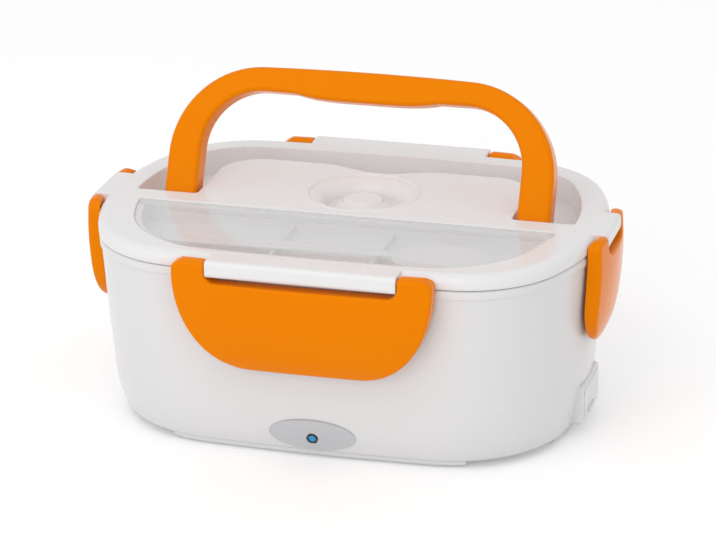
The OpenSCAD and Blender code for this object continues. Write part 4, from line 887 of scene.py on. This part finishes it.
def make_body():
    shell = Shell()
    wall_low, wall_high = FOOT_Z + 20, FLANGE_Z - 0.6
    heights = [FOOT_Z + 0.5 * i for i in range(1, 8)]
    heights += [FOOT_Z + 4 + 1.2 * i for i in range(13)]
    heights += [wall_low + (wall_high - wall_low) * i / 16 for i in range(17)]
    rings = [at_height(body_ring(FOOT_Z, wall), FOOT_Z + up)
             for wall, up in ((2.2, 1.2), (2.0, 0), (0.4, 0))]
    rings += [at_height(body_ring(z), z) for z in heights]
    rim = [(FLANGE_Z, 1.0), (FLANGE_Z, 0.75), (FLANGE_Z + 0.15, 0.45), (FLANGE_Z + 0.5, 0.3),
           (RIM_Z - 1.4, 0.3), (RIM_Z - 0.8, 0.42), (RIM_Z - 0.3, 0.75), (RIM_Z, 1.25),
           (RIM_Z, 1.8), (RIM_Z - 0.3, 2.2), (LEDGE_Z, 2.2), (LEDGE_Z, 5.0), (80, 5.4)]
    rings += [at_height(lid_ring(inset), z) for z, inset in rim]
    shell.loft(rings)
    # A window behind the inlet's hood.
    middle = Vector((HOOD_X, HOOD_Y, (HOOD_TOP + HOOD_LOW) / 2))
    window = Vector((18, HOOD_W / 2 - 2.5, (HOOD_TOP - HOOD_LOW) / 2 - 2))
    inside = [all(abs(p[k] - middle[k]) < window[k] for k in range(3)) for p in shell.points]
    shell.faces = [face for face in shell.faces if not all(inside[i] for i in face)]
    catch = [(-5, 74.3), (-0.6, 74.9), (0.4, 77.2), (0.4, 79.2), (-4.2, 80.6)]
    for which, size in enumerate(LATCHES.values()):
        shell.bar(catch, edge_place(which), -size.catch, size.catch, 0.3)
    piece("body_shell", shell, "white_shell", "base", ["outer_body"])


def hood_section(back, opening, inset, radius):
    """A rounded upright rectangle at a distance behind the hood's face."""
    width, low, high = opening
    return [(HOOD_X - back, HOOD_Y + y, (low + high) / 2 + z)
            for y, z in rounded_rect(width - 2 * inset, high - low - 2 * inset, radius)]


def make_hood():
    """Inlet hood: outer block, the flap's seat and the mouth of the socket."""
    shell = Shell()
    block = (HOOD_W, HOOD_LOW, HOOD_TOP)
    sections = [(15, block, 0, 2.4), (1.3, block, 0, 2.4), (0.8, block, 0.1, 2.3),
                (0.3, block, 0.4, 2.0), (0, block, 1, 1.4),
                (0, FLAP_SEAT, -0.2, 0.8), (0.2, FLAP_SEAT, 0, 0.6),
                (FLAP_SEAT_DEEP, FLAP_SEAT, 0, 0.6),
                (FLAP_SEAT_DEEP, SOCKET_MOUTH, -0.2, 0.7),
                (FLAP_SEAT_DEEP + 0.2, SOCKET_MOUTH, 0, 0.5), (HOOD_DEEP, SOCKET_MOUTH, 0, 0.5)]
    shell.loft([hood_section(*section) for section in sections])
    piece("inlet_hood", shell, "white_shell", "base")


def panel_place(x, y, z):
    """A point in the lamp panel's frame, whose z leaves the body's front face."""
    front = LID_B - BODY_INSET - belly(PANEL_Z) - DRAFT_Y * (FLANGE_Z - PANEL_Z)
    c, s = cosine(90 + PANEL_TILT), sine(90 + PANEL_TILT)
    return (x, -front + y * c - z * s, PANEL_Z + y * s + z * c)


def lamp_place(x, y, z):
    return panel_place(x, LAMP_DROP + y, z)


def make_panel():
    shell = Shell()
    oval = [(1.0, -1.2), (1.0, -0.1), (0.995, 0.2), (0.98, 0.42), (0.955, 0.5), (0.93, 0.47),
            (0.915, 0.44), (0.9, 0.46), (0.7, 0.58), (0.5, 0.68)]
    rings = [[panel_place(PANEL_A * x, PANEL_B * y, z) for x, y in circle(share, 72)]
             for share, z in oval]
    rings += turned([(2.95, 0.72), (2.7, 0.7), (2.55, 0.3), (LAMP_R + 0.1, 0.3),
                     (LAMP_R + 0.1, -1.2)], lamp_place, 72)
    shell.loft(rings)
    piece("lamp_panel_plate", shell, "panel_silver", "base", ["lamp_panel"])

    shell = Shell()
    lens = [(0.5, -6.9), (0.5, -5.9), (0, -5.9), (0, 0.35), (-0.15, 0.62), (-0.6, 0.85),
            (-1.3, 0.97), (0.05 - LAMP_R, 1.0)]
    shell.solid(turned([(LAMP_R + out, z) for out, z in lens], lamp_place, 40))
    piece("lamp_lens_dome", shell, "lamp_blue", "base", ["lamp_lens"])

    shell = Shell()
    bezel = [(-0.45, 0.6), (-0.45, 0.92), (-0.3, 1.02), (0, 1.0), (0.22, 0.8), (0.3, 0.5),
             (0.3, -0.5)]
    shell.loft(turned([(LAMP_R + out, z) for out, z in bezel], lamp_place, 48))
    piece("lamp_bezel", shell, "black_plastic", "base")


# ---- pan, tray and bowl ----

def bowl_end(inset):
    """First quadrant of the side bowl's plan, as fine along its side as round its corner."""
    return quarter(*lid_sizes(BOWL_INSET + inset), steps=BOWL_STEPS)


def bowl_plan(inset):
    """The right-hand end of the plan, closed by a straight inner side."""
    straight_x, r = LID_A - BOWL_INSET - BOWL_LEN, BOWL_CORNER
    count = sum(1 for x, y in bowl_end(0) if x > straight_x + r + 2)
    end = bowl_end(inset)[:count]
    x, y = straight_x + inset + r, end[-1][1] - r
    return ([(x, -y) for x, y in end[:0:-1]] + end + arc((x, y), r, 90, 180, 8)
            + arc((x, -y), r, 180, 270, 8))


def make_vessels():
    vessel("inner_pan_shell", "pan_metal", "base", "inner_pan", 0.9,
           [(33, 19.5), (34, 17.6), (36.5, 15.6), (41, 14), (76, 6.3), (85.4, 5.5), (85.4, 2.5),
            (86.6, 2.5), (86.6, 6.6), (77.2, 7.5), (42.2, 15.2), (37.7, 16.8), (35.2, 18.8),
            (34.2, 20.7)])
    vessel("food_tray_shell", "tray_steel", "tray", "food_tray", 0.55,
           [(35.3, 22), (36.1, 19.6), (38.3, 17.4), (42.3, 15.8), (73.4, 11.6), (75.4, 8.1),
            (86.8, 7.6), (86.8, 5), (88, 5), (88, 9), (76.1, 9.3), (74.1, 13), (43, 17.2),
            (39.7, 18.8), (37.5, 21), (36.7, 23.4)])
    vessel("side_bowl_shell", "white_shell", "bowl", "side_bowl", 0.5,
           [(47, 8.5), (47.8, 6.6), (49.6, 4.8), (53, 3.4), (76, 0.2), (76.1, -3.4), (77, -3.4),
            (77, 0.9), (54.2, 4.6), (50.8, 6), (49, 7.8), (48.2, 9.7)], plan=bowl_plan)


# ---- handle ----

def handle_edges():
    """Outer and inner edge of the upright handle, as pairs of (x, height over the pivot)."""
    a, b = HANDLE_W / 2, HANDLE_W / 2 - LEG_W
    top, under = HANDLE_H, HANDLE_H - GRIP_W
    leg, shoulder, grip = HANDLE_STEPS
    outer = [(a, (top - SHOULDER_R) * i / leg) for i in range(leg)]
    inner = [(b, (under - LEG_INNER_R) * i / leg) for i in range(leg)]
    outer += arc((a - SHOULDER_R, top - SHOULDER_R), SHOULDER_R, 0, 90, shoulder)
    inner += arc((b - LEG_INNER_R, under - LEG_INNER_R), LEG_INNER_R, 0, 90, shoulder)
    for i in range(1, grip + 1):
        f = 1 - i / grip
        t = (1 - f) ** 1.6
        outer.append(((a - SHOULDER_R) * f, top + CROWN * (1 - f * f)))
        inner.append((BUMP_HALF * (1 - t), under - GRIP_BUMP * (1 - (1 - t) ** 4)))
    pairs = list(zip(outer, inner))
    return pairs + [(mirror(o), mirror(i)) for o, i in pairs[-2::-1]]


def mirror(point):
    return (-point[0], point[1])


def handle_ring(outer, inner, half_t):
    """Rounded section between an outer and an inner edge point, as (x, y, height)."""
    radius = min(HANDLE_EDGE_R, half_t * 0.98)
    width = math.dist(outer, inner)
    ux, uz = (inner[0] - outer[0]) / width, (inner[1] - outer[1]) / width
    return [(outer[0] + ux * (d + width / 2), y, outer[1] + uz * (d + width / 2))
            for d, y in rounded_rect(width, 2 * half_t, radius, 5)]


def lean(x, y, z):
    """Puts a point of the upright handle at its pivot, leaning back."""
    c, s = cosine(HANDLE_LEAN), sine(HANDLE_LEAN)
    return (x, PIVOT_Y + y * c + z * s, PIVOT_Z - y * s + z * c)


def make_handle():
    shell = Shell()
    a, b, half = HANDLE_W / 2, HANDLE_W / 2 - LEG_W, HANDLE_T / 2
    foot = []
    for i in range(12):
        drop, depth = half * cosine(7.5 * i), half * sine(max(7.5 * i, 3))
        shrink = 0.9 * (drop / half) ** 6
        foot.append(((a - shrink, -drop), (b + shrink, -drop), depth))
    rings = [handle_ring(*section) for section in foot]
    rings += [handle_ring(outer, inner, half) for outer, inner in handle_edges()]
    rings += [handle_ring(mirror(o), mirror(i), depth) for o, i, depth in foot[::-1]]
    shell.solid([[lean(*p) for p in ring] for ring in rings])
    pin = [(PIVOT_R + 1.4, 1), (PIVOT_R + 1.4, -0.15), (PIVOT_R + 1.1, -0.3), (PIVOT_R, -0.3),
           (PIVOT_R, 0.4 - PIVOT_LEN), (PIVOT_R - 0.5, -PIVOT_LEN)]
    for side in (-1, 1):
        shell.solid(turned([(r, side * (b + along)) for r, along in pin],
                           lambda y, z, x: lean(x, y, z), 32))
    piece("carry_handle", shell, "orange_plastic", "handle", ["handle"])


# ---- latches ----

def latch_bend(which, u):
    """How far a latch follows the lid's curved side inwards, away from its middle."""
    radius = SIDE_ARC_R if which % 2 else FRONT_ARC_R
    return radius - math.sqrt(radius * radius - u * u)


def ear_half(z, slim):
    """Half thickness of a latch's ear above its hinge line."""
    return (EAR_R - slim / 2) * math.sqrt(max(1 - ((z - LATCH_Z) / EAR_RISE) ** 2, 0))


def face_curve(z):
    """Outward place of a latch's face below its hinge: a smooth curve through LATCH_FACE."""
    z = max(z, LATCH_LOW)
    last = len(LATCH_FACE) - 1
    k = next(k for k in range(last) if z <= LATCH_FACE[k + 1][0] + 1e-9)
    (z0, n0), (z1, n1) = LATCH_FACE[k], LATCH_FACE[k + 1]
    before = LATCH_FACE[k - 1] if k else (z0 - 4, n0 - 2.2)
    after = LATCH_FACE[k + 2] if k + 1 < last else (z1 + 5, n1)
    t = (z - z0) / (z1 - z0)
    slope_0 = (n1 - before[1]) / (z1 - before[0]) * (z1 - z0)
    slope_1 = (after[1] - n0) / (after[0] - z0) * (z1 - z0)
    return ((2 * t ** 3 - 3 * t ** 2 + 1) * n0 + (t ** 3 - 2 * t ** 2 + t) * slope_0
            + (3 * t ** 2 - 2 * t ** 3) * n1 + (t ** 3 - t ** 2) * slope_1)


def latch_front(z, slim):
    """Outward place of a latch's front at a height: its face, then round the ear."""
    if z > LATCH_Z:
        return LATCH_N - slim / 2 + ear_half(z, slim)
    return face_curve(z) - slim


def latch_back(z, slim):
    """Outward place of a latch's back at a height."""
    if z > LATCH_Z:
        return LATCH_N - slim / 2 - ear_half(z, slim)
    return 0.4 if z > FLANGE_Z else 0.4 - 1.8 * (FLANGE_Z - z) / (FLANGE_Z - LATCH_LOW)


def latch_outline(size):
    """Front view of a latch, anticlockwise, with its notch between the ears."""
    top, chamfer = LATCH_Z + EAR_RISE, 1.2
    right = [(size.flat + (size.half - size.flat) * sine(5 * i),
              size.shoulder - (size.shoulder - LATCH_LOW) * cosine(5 * i)) for i in range(19)]
    right += arc((size.half - EAR_CORNER, top - EAR_CORNER - chamfer), EAR_CORNER, 0, 45, 5)
    right += [(size.half - EAR_CORNER - chamfer, top), (size.notch + chamfer, top),
              (size.notch, top - 1.6), (size.notch, NOTCH_Z + NOTCH_R)]
    right += arc((size.notch - NOTCH_R, NOTCH_Z + NOTCH_R), NOTCH_R, -9, -90, 9)
    return soften(right + [mirror(p) for p in right[::-1]], 0.9, 25, 4)


def at_depth(points, depth):
    return [(u, depth, z) for u, z in points]


def flat_latch(size):
    """A latch before it is bent, as (u, depth, z): a depth of 0 to 1 is its front edge's
    rounding, to 2 its side, to 3 its back edge's rounding and to 4 the hollow behind.
    """
    flat, plan = Shell(), latch_outline(size)
    rings = [at_depth(offset(plan, -LATCH_EDGE_R * (1 - sine(t))), 1 - cosine(t))
             for t in (0, 18, 36, 54, 72, 90)]
    rings += [at_depth(offset(plan, -LATCH_BACK_EDGE_R * (1 - sine(t))), 2 + cosine(t))
              for t in (90, 45, 0)]
    back = flat.loft(rings, cap_start=True)[-1]
    hollow = soften([(u, z) for u, z in offset(plan, -LATCH_WALL) if z < NOTCH_Z - LATCH_WALL],
                    0.6)
    mouth, floor = flat.loop(at_depth(hollow, 3)), flat.loop(at_depth(offset(hollow, -0.5), 4))
    wall = flat.loop(at_depth(hollow, 3.8))
    flat.strip(mouth, wall)
    flat.strip(wall, floor)
    flat.fill(back, [mouth])
    flat.fill(floor)
    work = bmesh.new()
    verts = [work.verts.new(point) for point in flat.points]
    for face in flat.faces:
        if len(set(face)) == len(face):
            work.faces.new([verts[i] for i in face])
    return work


def cut_for_bending(work, half):
    """Cuts a flat latch along lines of equal height and of equal place along its edge."""
    heights = [LATCH_LOW + 1.5 * i for i in range(1, 30)]
    heights += [LATCH_Z + EAR_RISE * sine(9 * i) for i in range(10)]
    cuts = [((0, 0, z), (0, 0, 1)) for z in heights]
    cuts += [((half / 12 * i, 0, 0), (1, 0, 0)) for i in range(-11, 12)]
    for place, normal in cuts:
        bmesh.ops.bisect_plane(work, geom=work.verts[:] + work.edges[:] + work.faces[:],
                               plane_co=place, plane_no=normal, dist=1e-4)


def outward(depth, z, slim):
    """Turns a depth in the flat latch into a distance outwards from the lid's edge."""
    front, back = latch_front(z, slim), latch_back(z, slim)
    r = min(LATCH_EDGE_R, (front - back) * 0.45)
    back_r = min(LATCH_BACK_EDGE_R, (front - back) * 0.2)
    if depth <= 1:
        return front - r * depth
    if depth < 2:
        return front - r + (back + back_r - front + r) * (depth - 1)
    if depth <= 3:
        return back + back_r * (3 - depth)
    return back + (front - LATCH_WALL - back) * (depth - 3)


def make_latch(side, which, size):
    work = flat_latch(size)
    cut_for_bending(work, size.half)
    place = edge_place(which)
    for vert in work.verts:
        u, depth, z = vert.co
        vert.co = Vector(place(u, outward(depth, z, size.slim) - latch_bend(which, u), z))
    bmesh.ops.remove_doubles(work, verts=work.verts, dist=0.02)
    work.verts.ensure_lookup_table()
    shell = Shell()
    shell.points = [tuple(vert.co) for vert in work.verts]
    shell.faces = [tuple(vert.index for vert in face.verts) for face in work.faces]
    work.free()

    root = 6.6 - size.slim - latch_bend(which, size.hook)
    hook = [(root, 73.5), (root, 78.8), (1.3, 77.8), (0.7, 77.0), (-0.3, 74.7), (-0.3, 73.1)]
    shell.bar(hook, place, -size.hook, size.hook, 0.3)
    pin = [(size.pin_r, 0.5), (size.pin_r, -2.9), (size.pin_r - 0.2, -3.2)]
    for turn in (-1, 1):
        shell.loft(turned([(r, turn * (size.notch + along)) for r, along in pin],
                          lambda a, b, u: place(u, LATCH_N + a, LATCH_Z + b), 20), cap_end=True)
    piece(f"{side}_latch_plate", shell, "orange_plastic", f"{side}_latch", [f"latch_{side}"],
          angle=32)


# ---- carried-over solids ----

SOFT_EDGES = {"base_cover": 0.4, "rubber_feet": 0.5, "inlet_flap": 0.4, "inlet_socket": 0.3,
              "heating_plate": 0.5, "heater_block": 0.5, "lamp_board": 0.15}


def soften_solids():
    """Rounds the sharp edges of the machine-made solids that stay as they are."""
    for node, width in SOFT_EDGES.items():
        bevel = frame["nodes"][node].modifiers.new("soft_edges", "BEVEL")
        bevel.width = width * MM
        bevel.segments = 2
        bevel.limit_method = "ANGLE"
        bevel.angle_limit = math.radians(50)
        bevel.harden_normals = True


make_camera()
make_stage()
make_lights()
materials = make_materials()
dress_nodes(materials)
make_body()
make_hood()
make_panel()
make_vessels()
make_lid()
make_lid_inside()
make_plug()
make_cover()
make_spoon()
make_handle()
for which, (side, size) in enumerate(LATCHES.items()):
    make_latch(side, which, size)
soften_solids()

bpy.context.scene.view_settings.view_transform = "Standard"
